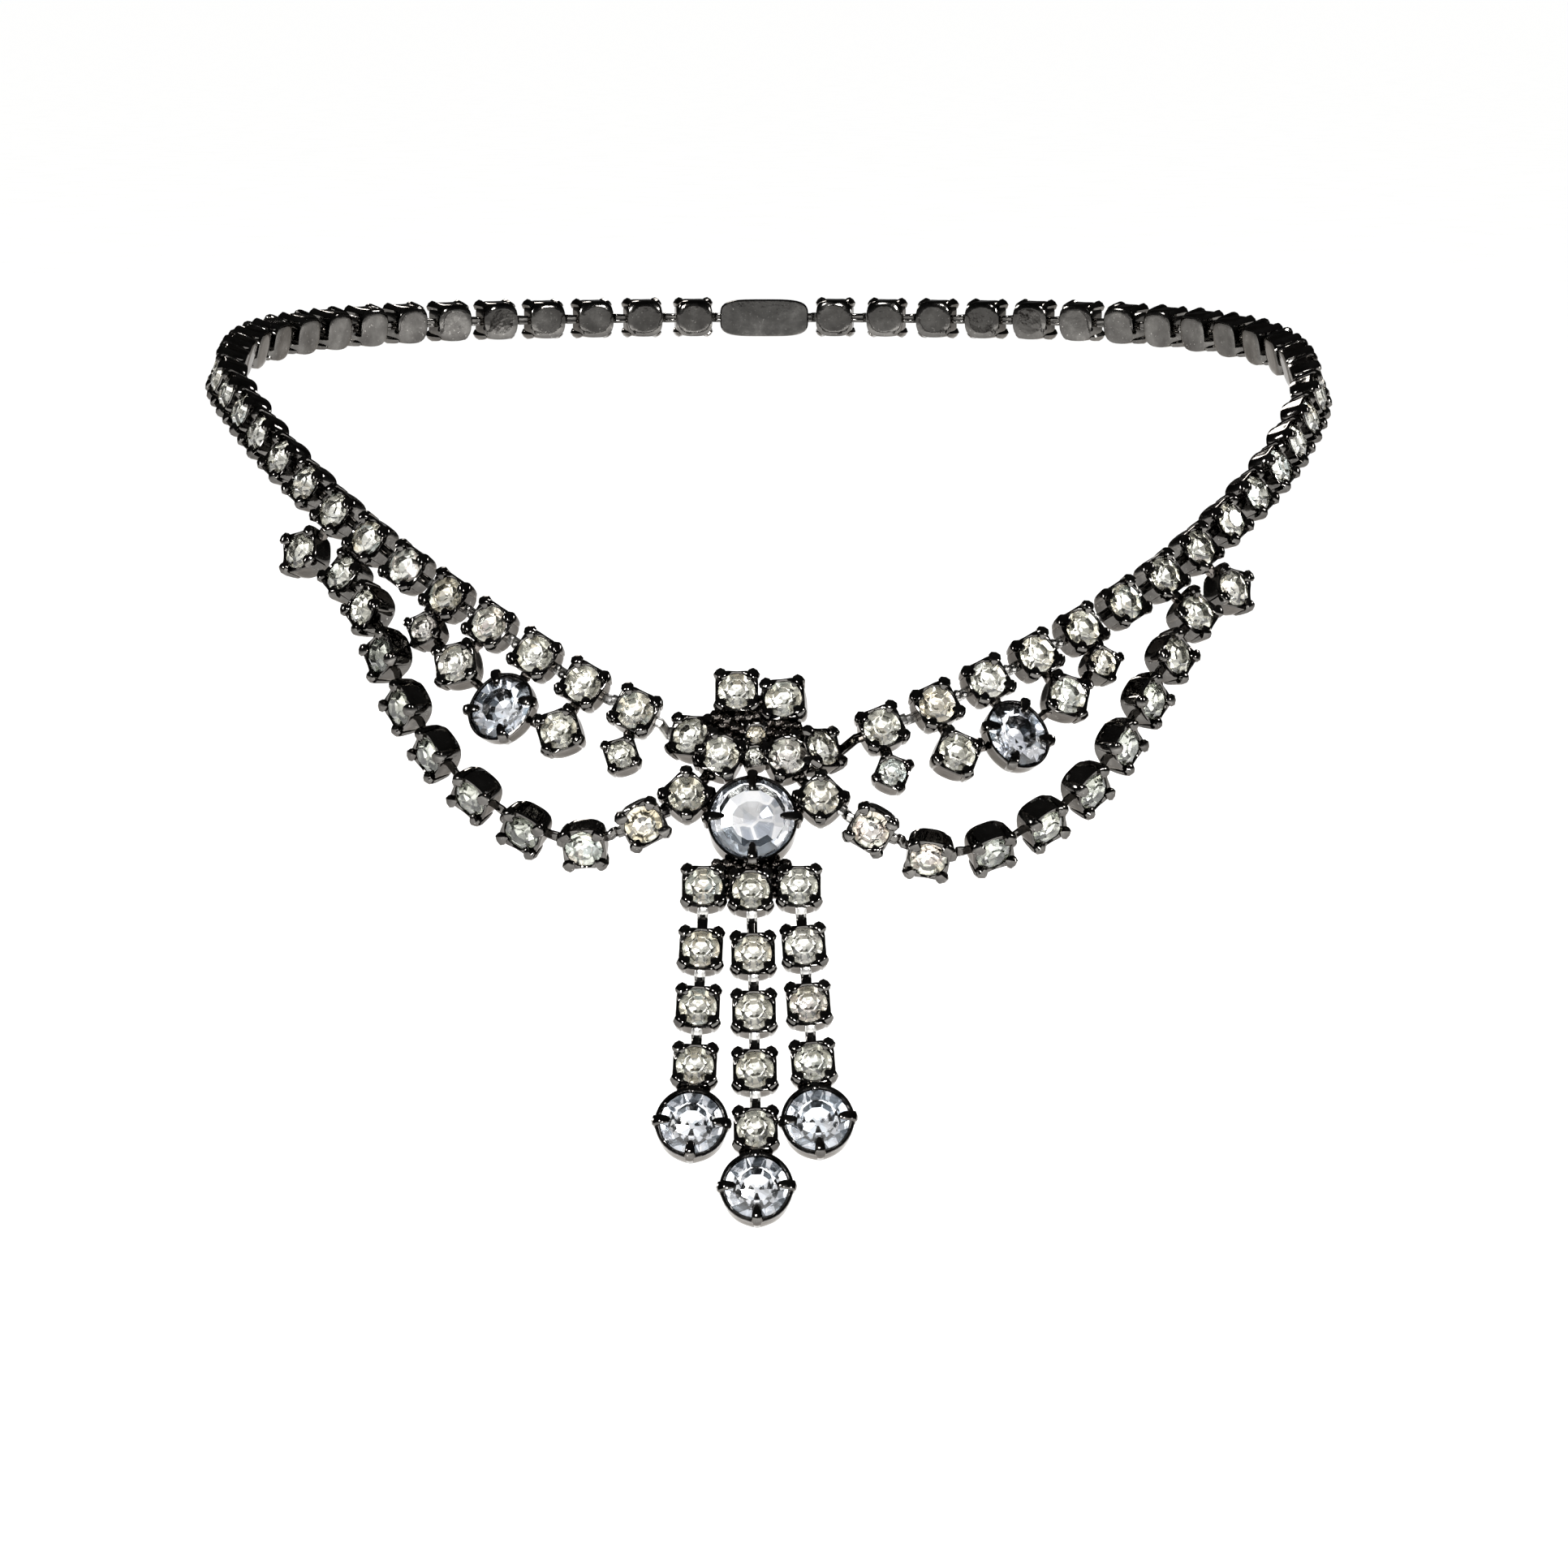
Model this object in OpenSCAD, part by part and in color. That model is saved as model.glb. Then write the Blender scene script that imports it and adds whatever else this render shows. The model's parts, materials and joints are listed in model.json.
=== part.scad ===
// Rhinestone necklace. A neck loop of square cup chain carries soldered side drops and two swags,
// which meet a soldered centrepiece with a large round stone and three short strands below it.
// Millimetres, Z up, the wearer faces -Y. The origin is where the clasp's inner face touches the nape.

/* [Neck loop] */
// Half of the loop's width at its widest
loop_half_w = 61.5; // [60.5:0.5:62.5]
// Depth of the loop from its front to the nape
loop_depth = 118; // [116:1:120]
// Height of the nape above the front of the loop
front_drop = 42; // [41:0.5:43]
// How much lower the right side hangs than the left
right_sag = 4.5; // [3.5:0.5:5]
// Upward lean of the cups and of the centrepiece in front, in degrees
bib_lean = 28; // [27:1:29]

/* [Cup chain] */
// Spacing of the cups along a chain
pitch = 6.35; // [6.3:0.05:6.4]
// Width of a square cup
cup_w = 4.5; // [4.45:0.05:4.5]
// Depth of a square cup from rim to back
cup_h = 2.9; // [2.8:0.05:3]
// Width of a chain stone
stone_d = 3.75; // [3.65:0.05:3.75]
// Width of a connecting strip
strip_w = 1.1; // [1:0.1:1.2]
// Thickness of a connecting strip
strip_t = 0.4; // [0.3:0.05:0.4]

/* [Other stones] */
// Width of the centre stone
centre_d = 8.9; // [8.6:0.1:9]
// Width of each large drop stone
drop_d = 6.5; // [6.2:0.1:6.6]
// Width of each oval stone
oval_w = 5.9; // [5.7:0.1:6]
// Length of each oval stone
oval_l = 7.2; // [7:0.1:7.3]
// Width of the small side stones
small_d = 2.9; // [2.7:0.1:3]
// Width of the two smallest stones of the cluster
tiny_d = 1.9; // [1.7:0.1:2]

/* [Clasp] */
// Length of the clasp along the chain
clasp_l = 11; // [10:0.5:12]
// Height of the clasp
clasp_w = 4.6; // [4.4:0.1:4.8]

/* [Hidden] */

SIDES = ["left", "right"];
DROP_NAMES = ["inner_small", "inner_medium", "oval", "outer_medium", "outer_small", "far_medium"];
METAL = "dimgray";
GLASS = "lavender";
CLEAR = "aliceblue";

// Wall, floor and gaps of a cup
fit = 0.1;
sole = 0.8;
floor_t = 0.3;
rim = cup_h - sole;
slot_gap = 0.12;
strip_up = 0.2;
lead = cup_w / 2 + 0.5;
wall = cup_w / 2 - stone_d / 2 - fit;
big_h = 4;
drop_h = 3.5;
oval_h = 3.2;
small_w = 3.5;
tiny_w = 2.4;

// Strip heads: how far from the axis of the next cup they start and end, and their width
head_in = 1.22;
head_out = 1.56;
head_w = 1.75;

// Neck loop from front to nape. Each row is one section: share of the half width across,
// share of the depth behind the front, share of the rise on the left, share of the right sag,
// sway to the right, lean
NECK = [
    [0.11, 0.036, 0.088, 0.26, 0.0, 28],
    [0.29, 0.064, 0.208, 0.45, 0.1, 28],
    [0.49, 0.118, 0.375, 0.75, 0.3, 28],
    [0.68, 0.196, 0.542, 0.90, 0.5, 27],
    [0.83, 0.292, 0.697, 0.90, 0.7, 26],
    [0.94, 0.405, 0.830, 0.75, 0.8, 24],
    [1.00, 0.540, 0.925, 0.35, 0.7, 20],
    [0.94, 0.720, 0.985, 0.10, 0.4, 12],
    [0.70, 0.890, 1.000, 0.00, 0.1, 5],
    [0.33, 0.980, 1.000, 0.00, 0.0, 0],
    [0.00, 1.000, 1.000, 0.00, 0.0, 0],
    [-0.33, 0.980, 1.000, 0.00, 0.0, 0]
];
NAPE_ROW = 10;
FIRST_CUP = [7.2, 6.5];

// Swags from the centrepiece outwards. Each row: across, behind the front, above the front,
// turn of the face away from straight ahead, upward lean of the face
SWAG_LEFT = [
    [6.6, 1.0, -1.2, 4, 12],
    [19.0, 1.4, -6.3, 6, -20],
    [30.4, 4.8, -0.8, 26, -30],
    [37.3, 11.0, 7.2, 42, -12],
    [41.0, 17.4, 15.3, 32, 0],
    [44.5, 23.6, 19.0, 14, 8]
];
SWAG_RIGHT = [
    [6.4, 2.0, -1.6, 4, 12],
    [17.2, 0.8, -7.1, 6, -24],
    [26.2, 2.6, -5.7, 26, -32],
    [34.8, 7.6, -0.5, 40, -18],
    [41.2, 14.6, 7.8, 38, -4],
    [46.4, 22.2, 15.0, 16, 8]
];
SWAG_CUPS = 9;

// Drops soldered under the neck cups: number of the cup, width of the drop's cup (0 for the oval),
// distance along the chain, distance below it, turn in the plane of the cups, raised
DROPS = [
    [1, small_w, -1.0, 4.9, 45, 0.0],
    [2, cup_w, -0.6, 5.6, 40, 0.0],
    [3, 0, -0.4, 6.7, 4, 0.0],
    [4, cup_w, 0.6, 5.5, 45, 0.0],
    [5, small_w, -0.1, 4.3, 32, 0.0],
    [8, cup_w, 0.9, 5.9, 45, 0.0]
];
PANEL_CUPS = [2, 3, 4, 5];
HANGER_CUP = 7;
FAR_CUP = 8;

// Centrepiece around the centre stone. Each row is one cup: name, across, up, raised, rolled,
// swung to the right, width
CLUSTER = [
    ["top_left", -1.7, 14.6, 0.0, 0, 0, cup_w],
    ["top_right", 3.2, 13.7, 0.0, 3, -8, cup_w],
    ["outer_left", -6.7, 9.8, -0.6, -12, -20, cup_w],
    ["inner_left", -3.4, 7.2, 0.6, -27, 0, cup_w],
    ["upper_tiny", 0.35, 9.7, 0.0, 0, 0, tiny_w],
    ["lower_tiny", 0.2, 7.2, 0.1, 10, 0, tiny_w],
    ["inner_right", 3.7, 7.1, 0.4, 27, 4, cup_w],
    ["outer_right", 7.6, 8.4, -0.6, 15, 36, cup_w],
    ["flank_left", -6.95, 2.95, 0.0, 46, 0, cup_w],
    ["flank_right", 7.2, 2.6, 0.0, 44, 0, cup_w],
    ["row_left", -5.1, -7.3, 0.0, 0, 0, cup_w],
    ["row_mid", -0.15, -7.8, 0.2, 0, 0, cup_w],
    ["row_right", 4.9, -7.3, 0.0, 0, 0, cup_w]
];
OUTER = [2, 7];
FLANK = [8, 9];
ROW = [10, 11, 12];
bib_across = -0.85;
bib_below = 3.8;

// Cups of the centrepiece that solder joins to each other, and those joined to the large cup
JOINS = [[0, 1], [0, 3], [0, 4], [1, 6], [2, 3], [3, 5], [4, 5], [5, 6], [6, 7],
         [3, 8], [6, 9], [10, 11], [11, 12]];
CENTRE_JOINS = [8, 9, 10, 11, 12];

// Strands below the centrepiece: across, up, drift to the right in degrees, square cups
STRANDS = [
    [-5.35, -14.2, -2.6, 3],
    [0.1, -14.7, 0.9, 4],
    [5.4, -13.9, 4.2, 3]
];
STRAND_NAMES = ["left", "centre", "right"];

// Vectors and frames. A frame is an origin with its along, across and face directions
function unit(v) = v / norm(v);
function frame(p, t, n) =
    let (x = unit(t), z = unit(n - (n * x) * x))
    [p, x, cross(z, x), z];
function on(f, a, b, c = 0) = f[0] + a * f[1] + b * f[2] + c * f[3];
function spun(f, a) = [f[0], cos(a) * f[1] + sin(a) * f[2], cos(a) * f[2] - sin(a) * f[1], f[3]];
function swung(f, a) = [f[0], cos(a) * f[1] - sin(a) * f[3], f[2], cos(a) * f[3] + sin(a) * f[1]];
function moved(f, a, b, c = 0) = [on(f, a, b, c), f[1], f[2], f[3]];
function facing(turn, lean) = [sin(turn) * cos(lean), -cos(turn) * cos(lean), sin(lean)];

// A smooth route through the rows of a table, as rows with the length so far in front
STEPS = 10;
function blend(a, b, c, d, t) =
    0.5 * (2 * b + (c - a) * t + (2 * a - 5 * b + 4 * c - d) * t * t
           + (3 * b - a - 3 * c + d) * t * t * t);
function row_at(rows, u) =
    let (n = len(rows) - 1,
         i = min(floor(u), n - 1),
         b = rows[i],
         c = rows[i + 1],
         a = i > 0 ? rows[i - 1] : 2 * b - c,
         d = i < n - 1 ? rows[i + 2] : 2 * c - b)
    blend(a, b, c, d, u - i);
function span(p, q) = norm([q[0] - p[0], q[1] - p[1], q[2] - p[2]]);
function route(rows) =
    let (pts = [for (k = [0 : (len(rows) - 1) * STEPS]) row_at(rows, k / STEPS)], last = len(pts) - 1)
    [for (k = 0, s = 0; k <= last; s = s + (k < last ? span(pts[k], pts[k + 1]) : 0), k = k + 1)
        concat([s], pts[k])];
function column(r, c) = [for (q = r) [q[0], q[c]]];
function spot(r, s) = [for (c = [1, 2, 3]) lookup(s, column(r, c))];

// The neck loop: its rows in millimetres, its stations and its cups, counted from the front
function neck_rows(side) = [for (q = NECK) [
    side * loop_half_w * q[0] + q[4],
    loop_depth * (q[1] - 1) + (q[1] > 0.9 ? sole * (q[1] - 0.9) * 10 : 0),
    front_drop * (q[2] - 1) - (side > 0 ? right_sag * q[3] : 0),
    q[5]]];
ROUTES = [for (side = [-1, 1]) route(neck_rows(side))];
function neck_frame(k, s) =
    let (side = 2 * k - 1,
         r = ROUTES[k],
         t = unit(spot(r, s + 0.6) - spot(r, s - 0.6)),
         lean = lookup(s, column(r, 4)),
         out = side * unit([t[1], -t[0], 0]))
    frame(spot(r, s), t, cos(lean) * out + sin(lean) * [0, 0, 1]);
function nape_s(k) = ROUTES[k][NAPE_ROW * STEPS][0];
clasp_reach = clasp_l / 2 + 1 + cup_w / 2;
function neck_count(k) = round((nape_s(k) - clasp_reach - FIRST_CUP[k]) / pitch) + 1;
function neck_s(k, i) =
    FIRST_CUP[k] + (i - 1) * (nape_s(k) - clasp_reach - FIRST_CUP[k]) / (neck_count(k) - 1);
NECK_CUPS = [for (k = [0, 1]) [for (i = [1 : neck_count(k)]) neck_frame(k, neck_s(k, i))]];

// The swags, counted from the centrepiece
function swag_rows(k) =
    [for (q = k == 0 ? SWAG_LEFT : SWAG_RIGHT)
        [(2 * k - 1) * q[0], q[1] - loop_depth, q[2] - front_drop, (2 * k - 1) * q[3], q[4]]];
function swag_frame(r, s) =
    frame(spot(r, s), spot(r, s + 0.6) - spot(r, s - 0.6),
          facing(lookup(s, column(r, 4)), lookup(s, column(r, 5))));
SWAG_ROUTES = [for (k = [0, 1]) route(swag_rows(k))];
function swag_s(k, i) = i * SWAG_ROUTES[k][len(SWAG_ROUTES[k]) - 1][0] / SWAG_CUPS;
SWAG_FRAMES = [for (k = [0, 1]) [for (i = [1 : SWAG_CUPS]) swag_frame(SWAG_ROUTES[k], swag_s(k, i) - 0.01)]];

// The centrepiece: a leaning plane through the rims, with the centre stone at its origin
BIB = let (c = cos(bib_lean), s = sin(bib_lean))
    [[bib_across, -loop_depth, -front_drop - bib_below], [1, 0, 0], [0, s, c], [0, -c, s]];
CENTRE = moved(BIB, 0, 0, 0.6 - big_h + sole);
function cluster_frame(c) =
    let (f = swung(spun(moved(BIB, c[1], c[2], c[3]), c[4]), c[5]))
    moved(f, 0, 0, c[6] == tiny_w ? 0.4 - rim : -rim);
CLUSTER_FRAMES = [for (c = CLUSTER) cluster_frame(c)];

// The strands below: square cups at the pitch, then a round cup soldered to the last one
drop_step = cup_w / 2 + drop_d / 2 + 0.95;
function strand_frame(q, d) =
    let (down = [sin(q[2]), -cos(q[2])])
    frame(on(BIB, q[0] + d * down[0], q[1] + d * down[1], -rim),
          down[0] * BIB[1] + down[1] * BIB[2], BIB[3]);
STRAND_FRAMES = [for (q = STRANDS) [for (i = [0 : q[3] - 1]) strand_frame(q, i * pitch)]];
DROP_FRAMES = [for (q = STRANDS) strand_frame(q, (q[3] - 1) * pitch + drop_step)];

// A side drop's frame, from its row and the frame of its neck cup
function side_drop(k, d) =
    let (side = 2 * k - 1, f = NECK_CUPS[k][d[0] - 1])
    spun(moved(f, d[2], -side * d[3], d[5]), side * d[4]);

// Places its children in a frame
module at(f)
    multmatrix([
        [f[1][0], f[2][0], f[3][0], f[0][0]],
        [f[1][1], f[2][1], f[3][1], f[0][1]],
        [f[1][2], f[2][2], f[3][2], f[0][2]],
        [0, 0, 0, 1]])
        children();

// A frame that runs from one cup's middle to another's, and the frame of a cup turned in its own
// plane towards another cup
function chord(f, g) = frame(f[0], g[0] - f[0], f[3] + g[3]);
function toward(f, g) =
    let (d = g[0] - f[0], x = unit(d - (d * f[3]) * f[3]))
    [f[0], x, cross(f[3], x), f[3]];

// One prong: a column with a ball on it, bent in over the stone
module prong(column_at, tip_at, foot, top, r)
    union() {
        translate([column_at, 0, foot])
            cylinder(h = top - foot, r = r, $fn = 24);
        translate([tip_at, 0, top])
            sphere(r = 1.3 * r, $fn = 24);
    }

// A square cup's outside: flat sides, rounded corners, a rounded back and four prongs
module square_body(w, h, foot = 0.4) {
    intersection() {
        translate([-w / 2, -w / 2, -sole])
            cube([w, w, h]);
        translate([0, 0, -sole - 1])
            cylinder(h = h + 2, r = 0.595 * w, $fn = 48);
        translate([0, 0, 0.655 * h - sole])
            sphere(r = norm([0.53 * w, 0.655 * h]), $fn = 48);
    }
    for (a = [45 : 90 : 315])
        rotate(a)
            prong(0.585 * w, 0.565 * w, foot - sole, h - sole + 0.25, 0.1 * w);
}
module square_pocket(w, h, d)
    translate([0, 0, floor_t - sole])
        cylinder(h = h - floor_t + 0.01, r = d / 2 + fit, $fn = 48);

// A round cup with four claws, turned so that one points along the strand
module round_body(d, h) {
    intersection() {
        translate([0, 0, -sole])
            cylinder(h = h, r = d / 2 + fit + 0.28, $fn = 64);
        translate([0, 0, 0.75 * h - sole])
            sphere(r = 0.6 * d + 0.3, $fn = 64);
    }
    for (a = [0 : 90 : 270])
        rotate(a)
            prong(d / 2 + 0.4, d / 2 + 0.3, 0.5 * h - sole, h - sole + 0.4, 0.42);
}
module round_pocket(d, h)
    translate([0, 0, floor_t - sole])
        cylinder(h = h - floor_t + 0.01, r = d / 2 + fit, $fn = 64);

// An oval outline as a polygon of straight runs
function oval(w, l, n = 32) = [for (i = [0 : n - 1]) [w / 2 * cos(i * 360 / n), l / 2 * sin(i * 360 / n)]];
module oval_body() {
    translate([0, 0, -sole])
        linear_extrude(oval_h)
            polygon(oval(oval_w + 0.8, oval_l + 0.8));
    for (a = [38, 142, 218, 322])
        translate([oval_w / 2 * cos(a), oval_l / 2 * sin(a), 0])
            rotate(a)
                prong(0.42, 0.32, 0.6 - sole, oval_h - sole + 0.4, 0.42);
}
module oval_pocket()
    translate([0, 0, floor_t - sole])
        linear_extrude(oval_h - floor_t + 0.01)
            polygon(oval(oval_w + 2 * fit, oval_l + 2 * fit));

// A cup of the kind that a width names: 0 is the oval
module cup_body(w, foot = 0.4) {
    if (w == 0)
        oval_body();
    else
        square_body(w, w == tiny_w ? cup_h - 0.4 : cup_h, foot);
}
function stone_of(w) = w == small_w ? small_d : w == tiny_w ? tiny_d : stone_d;
module cup_pocket(w) {
    if (w == 0)
        oval_pocket();
    else
        square_pocket(w, w == tiny_w ? cup_h - 0.4 : cup_h, stone_of(w));
}

// The strip of the cup at f. It runs from that cup's wall to the cup at g, and enters it level,
// with a head inside
module tail(f, g) {
    out = on(toward(f, g), cup_w / 2 - wall / 2, 0, strip_up);
    near = on(toward(g, f), lead, 0, strip_up);
    at(frame(out, near - out, f[3] + g[3]))
        translate([0, 0.05 - strip_w / 2, 0.03 - strip_t / 2])
            cube([norm(near - out) + 0.1, strip_w - 0.1, strip_t - 0.06]);
    at(toward(g, f)) {
        translate([head_in + 0.1, -strip_w / 2, strip_up - strip_t / 2])
            cube([lead - head_in, strip_w, strip_t]);
        translate([head_in, -head_w / 2, strip_up - strip_t / 2 - 0.02])
            cube([head_out - head_in, head_w, strip_t + 0.04]);
    }
}

// The slot in the cup at g that lets the strip of the cup at f in
module slot(f, g)
    at(toward(g, f))
        translate([1.3, -strip_w / 2 - slot_gap, strip_up - strip_t / 2 - slot_gap])
            cube([lead - 0.6, strip_w + 2 * slot_gap, strip_t + 2 * slot_gap]);

// A strip between two cups of one soldered piece, ending inside their walls
module bridge(f, g) {
    reach = norm(g[0] - f[0]);
    at(chord(f, g))
        translate([cup_w / 2 - wall / 2, -strip_w / 2, strip_up - strip_t / 2])
            cube([reach - cup_w + wall, strip_w, strip_t]);
}

// A run of solder from the middle of one cup to the middle of another, above their strips
module solder(f, g, r = 0.75, up = 0.7) {
    reach = norm(g[0] - f[0]);
    at(chord(f, g))
        translate([0.9, 0, up])
            rotate([0, 90, 0])
                cylinder(h = reach - 1.8, r = r, $fn = 20);
}

// One link: a cup whose strip runs to the cup at g, with a slot for the strip from the cup at e
module link(e, f, g) {
    difference() {
        at(f) cup_body(cup_w);
        at(f) cup_pocket(cup_w);
        if (e != undef)
            slot(e, f);
    }
    tail(f, g);
}

// The neck link beside the centrepiece, with its small drop
module inner_link(k)
    color(METAL) soldered_link(k, 1, side_drop(k, DROPS[0]), small_w);

// Neck links from one cup to another, both counted from the front
function clasp_point(k) = neck_frame(k, nape_s(k) - clasp_l / 2 + cup_w / 2 + 0.3);
function neck_cup(k, i) =
    i < 1 ? CLUSTER_FRAMES[OUTER[k]]
    : i > neck_count(k) ? clasp_point(k)
    : NECK_CUPS[k][i - 1];
module neck_link(k, i)
    link(neck_cup(k, i + 1), neck_cup(k, i), neck_cup(k, i - 1));

// A neck cup with something soldered under it
module soldered_link(k, i, f, w) {
    difference() {
        union() {
            at(neck_cup(k, i)) cup_body(cup_w);
            at(f) cup_body(w);
            solder(neck_cup(k, i), f);
        }
        at(neck_cup(k, i)) cup_pocket(cup_w);
        at(f) cup_pocket(w);
        slot(neck_cup(k, i + 1), neck_cup(k, i));
    }
    tail(neck_cup(k, i), neck_cup(k, i - 1));
}

// The neck chain outside the side panel: plain links, the link that carries the swag's last cup,
// and the link with the far drop
module neck_chain(k) color(METAL) {
    swag_end = SWAG_FRAMES[k][SWAG_CUPS - 1];
    neck_link(k, PANEL_CUPS[3] + 1);
    soldered_link(k, HANGER_CUP, swag_end, cup_w);
    tail(swag_end, SWAG_FRAMES[k][SWAG_CUPS - 2]);
    soldered_link(k, FAR_CUP, side_drop(k, DROPS[5]), cup_w);
    for (i = [FAR_CUP + 1 : neck_count(k)])
        neck_link(k, i);
}

// The side panel: four neck cups and their drops, soldered into one piece
module side_panel(k) color(METAL) {
    drops = [for (j = [1 : 4]) side_drop(k, DROPS[j])];
    difference() {
        union() {
            for (j = [0 : 3]) {
                at(neck_cup(k, PANEL_CUPS[j])) cup_body(cup_w);
                at(drops[j]) cup_body(DROPS[j + 1][1]);
                solder(neck_cup(k, PANEL_CUPS[j]), drops[j]);
            }
            for (j = [0 : 2]) {
                solder(drops[j], drops[j + 1], 0.6);
                bridge(neck_cup(k, PANEL_CUPS[j]), neck_cup(k, PANEL_CUPS[j + 1]));
            }
        }
        for (j = [0 : 3]) {
            at(neck_cup(k, PANEL_CUPS[j])) cup_pocket(cup_w);
            at(drops[j]) cup_pocket(DROPS[j + 1][1]);
        }
        slot(neck_cup(k, PANEL_CUPS[3] + 1), neck_cup(k, PANEL_CUPS[3]));
    }
    tail(neck_cup(k, PANEL_CUPS[0]), neck_cup(k, PANEL_CUPS[0] - 1));
}

// The swag's free links, from the one beside the centrepiece outwards
function swag_cup(k, i) = i < 1 ? CLUSTER_FRAMES[FLANK[k]] : SWAG_FRAMES[k][i - 1];
module swag(k)
    color(METAL) for (i = [1 : SWAG_CUPS - 1])
        link(swag_cup(k, i + 1), swag_cup(k, i), swag_cup(k, i - 1));

// The centrepiece: every cup of the cluster, the flanking cups, the row and the large round cup
module centre_setting()
    color(METAL) difference() {
        union() {
            for (j = [0 : len(CLUSTER) - 1])
                at(CLUSTER_FRAMES[j]) cup_body(CLUSTER[j][6], 1.7);
            at(spun(CENTRE, 0)) round_body(centre_d, big_h);
            for (j = JOINS)
                solder(CLUSTER_FRAMES[j[0]], CLUSTER_FRAMES[j[1]], 0.7, 0.05);
            for (j = CENTRE_JOINS)
                solder(CENTRE, CLUSTER_FRAMES[j], 0.7, 0.1);
        }
        for (j = [0 : len(CLUSTER) - 1])
            at(CLUSTER_FRAMES[j]) cup_pocket(CLUSTER[j][6]);
        at(CENTRE) round_pocket(centre_d, big_h);
        for (k = [0, 1]) {
            slot(neck_cup(k, 1), CLUSTER_FRAMES[OUTER[k]]);
            slot(swag_cup(k, 1), CLUSTER_FRAMES[FLANK[k]]);
        }
        for (j = [0 : 2])
            slot(STRAND_FRAMES[j][0], CLUSTER_FRAMES[ROW[j]]);
    }

// A strand below the centrepiece, whose last square cup is soldered to the round cup of its drop
module pendant(j) color(METAL) {
    cups = STRAND_FRAMES[j];
    last = len(cups) - 1;
    for (i = [0 : last - 1])
        link(cups[i + 1], cups[i], i == 0 ? CLUSTER_FRAMES[ROW[j]] : cups[i - 1]);
    difference() {
        union() {
            at(cups[last]) cup_body(cup_w);
            at(DROP_FRAMES[j]) round_body(drop_d, drop_h);
            solder(cups[last], DROP_FRAMES[j], 0.8);
        }
        at(cups[last]) cup_pocket(cup_w);
        at(DROP_FRAMES[j]) round_pocket(drop_d, drop_h);
    }
    tail(cups[last], cups[last - 1]);
}

// The clasp: a plain rounded bar with a strip at each end that enters the last cup
module clasp() color(METAL) {
    at([[0, 0, 0], [1, 0, 0], [0, 0, -1], [0, 1, 0]])
        intersection() {
            translate([-clasp_l / 2, -clasp_w / 2, 0])
                cube([clasp_l, clasp_w, 2.4]);
            cylinder(h = 2.4, r = clasp_l / 2 + 0.15, $fn = 64);
        }
    for (k = [0, 1])
        tail(clasp_point(k), neck_cup(k, neck_count(k)));
}

// A cut stone: a flat table, a ring of crown facets, a thin girdle and a pavilion down to a point.
// Each ring is a share of the size, a height and a turn in half steps
module cut_stone(w, l, n, rings, foot) {
    last = len(rings) - 1;
    pts = concat(
        [for (q = rings, i = [0 : n - 1])
            let (a = (i + q[2] / 2) * 360 / n)
            [q[0] * w / 2 * cos(a), q[0] * l / 2 * sin(a), q[1]]],
        [[0, 0, foot]]);
    sides = [for (j = [0 : last - 1], i = [0 : n - 1])
        let (a = j * n + i, b = j * n + (i + 1) % n, c = (j + 1) * n + i, d = (j + 1) * n + (i + 1) % n)
        rings[j + 1][2] > rings[j][2]
            ? [[b, a, c], [b, c, d]]
            : [[b, a, d], [a, c, d]]];
    polyhedron(
        points = pts,
        faces = concat(
            [[for (i = [0 : n - 1]) n - 1 - i]],
            [for (pair = sides, face = pair) [face[2], face[1], face[0]]],
            [for (i = [0 : n - 1]) [last * n + i, last * n + (i + 1) % n, len(pts) - 1]]));
}
module chain_stone(d = stone_d, top = rim)
    cut_stone(d, d, 8, [[0.56, top + 0.17 * d - 0.2, 0], [1, top - 0.25, 0], [1, top - 0.4, 0]],
              top - 0.3 - 0.37 * d);
module large_stone(w, l, top)
    cut_stone(w, l, 16, [[0.54, top + 0.13 * w, 0], [0.8, top + 0.07 * w, 1], [1, top - 0.3, 0],
                         [1, top - 0.5, 0]],
              top - 0.4 - 0.34 * w);
module stone_in(w) {
    if (w == 0)
        large_stone(oval_w, oval_l, oval_h - sole);
    else if (w == tiny_w)
        chain_stone(tiny_d, rim - 0.4);
    else
        chain_stone(stone_of(w), rim);
}

// Stones of a chain, all of one size
module chain_stones(frames)
    color(GLASS) for (f = frames)
        at(f) chain_stone();
module side_stone(k, j)
    color(GLASS) at(side_drop(k, DROPS[j])) stone_in(DROPS[j][1]);
module cluster_stone(j)
    color(GLASS) at(CLUSTER_FRAMES[j]) stone_in(CLUSTER[j][6]);
module centre_stone()
    color(CLEAR) at(CENTRE) large_stone(centre_d, centre_d, big_h - sole);
module drop_stone(j)
    color(CLEAR) at(DROP_FRAMES[j]) large_stone(drop_d, drop_d, drop_h - sole);

// The pieces, each built when it is named
for (k = [0, 1]) {
    neck_chain(k);
    inner_link(k);
    side_panel(k);
    swag(k);
    chain_stones(NECK_CUPS[k]);
    chain_stones(SWAG_FRAMES[k]);
    for (j = [0 : 5])
        side_stone(k, j);
}
for (j = [0 : 2]) {
    pendant(j);
    chain_stones(STRAND_FRAMES[j]);
    drop_stone(j);
}
for (j = [0 : len(CLUSTER) - 1])
    cluster_stone(j);
centre_setting();
centre_stone();
clasp();
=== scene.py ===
"""Rhinestone bib necklace: the pressed cups, claws, strips, solder and cut stones that are seen.

Lengths are in millimetres, as in the part's source, and become metres when a mesh is made.
"""
import json
from math import cos, radians, sin

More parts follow.
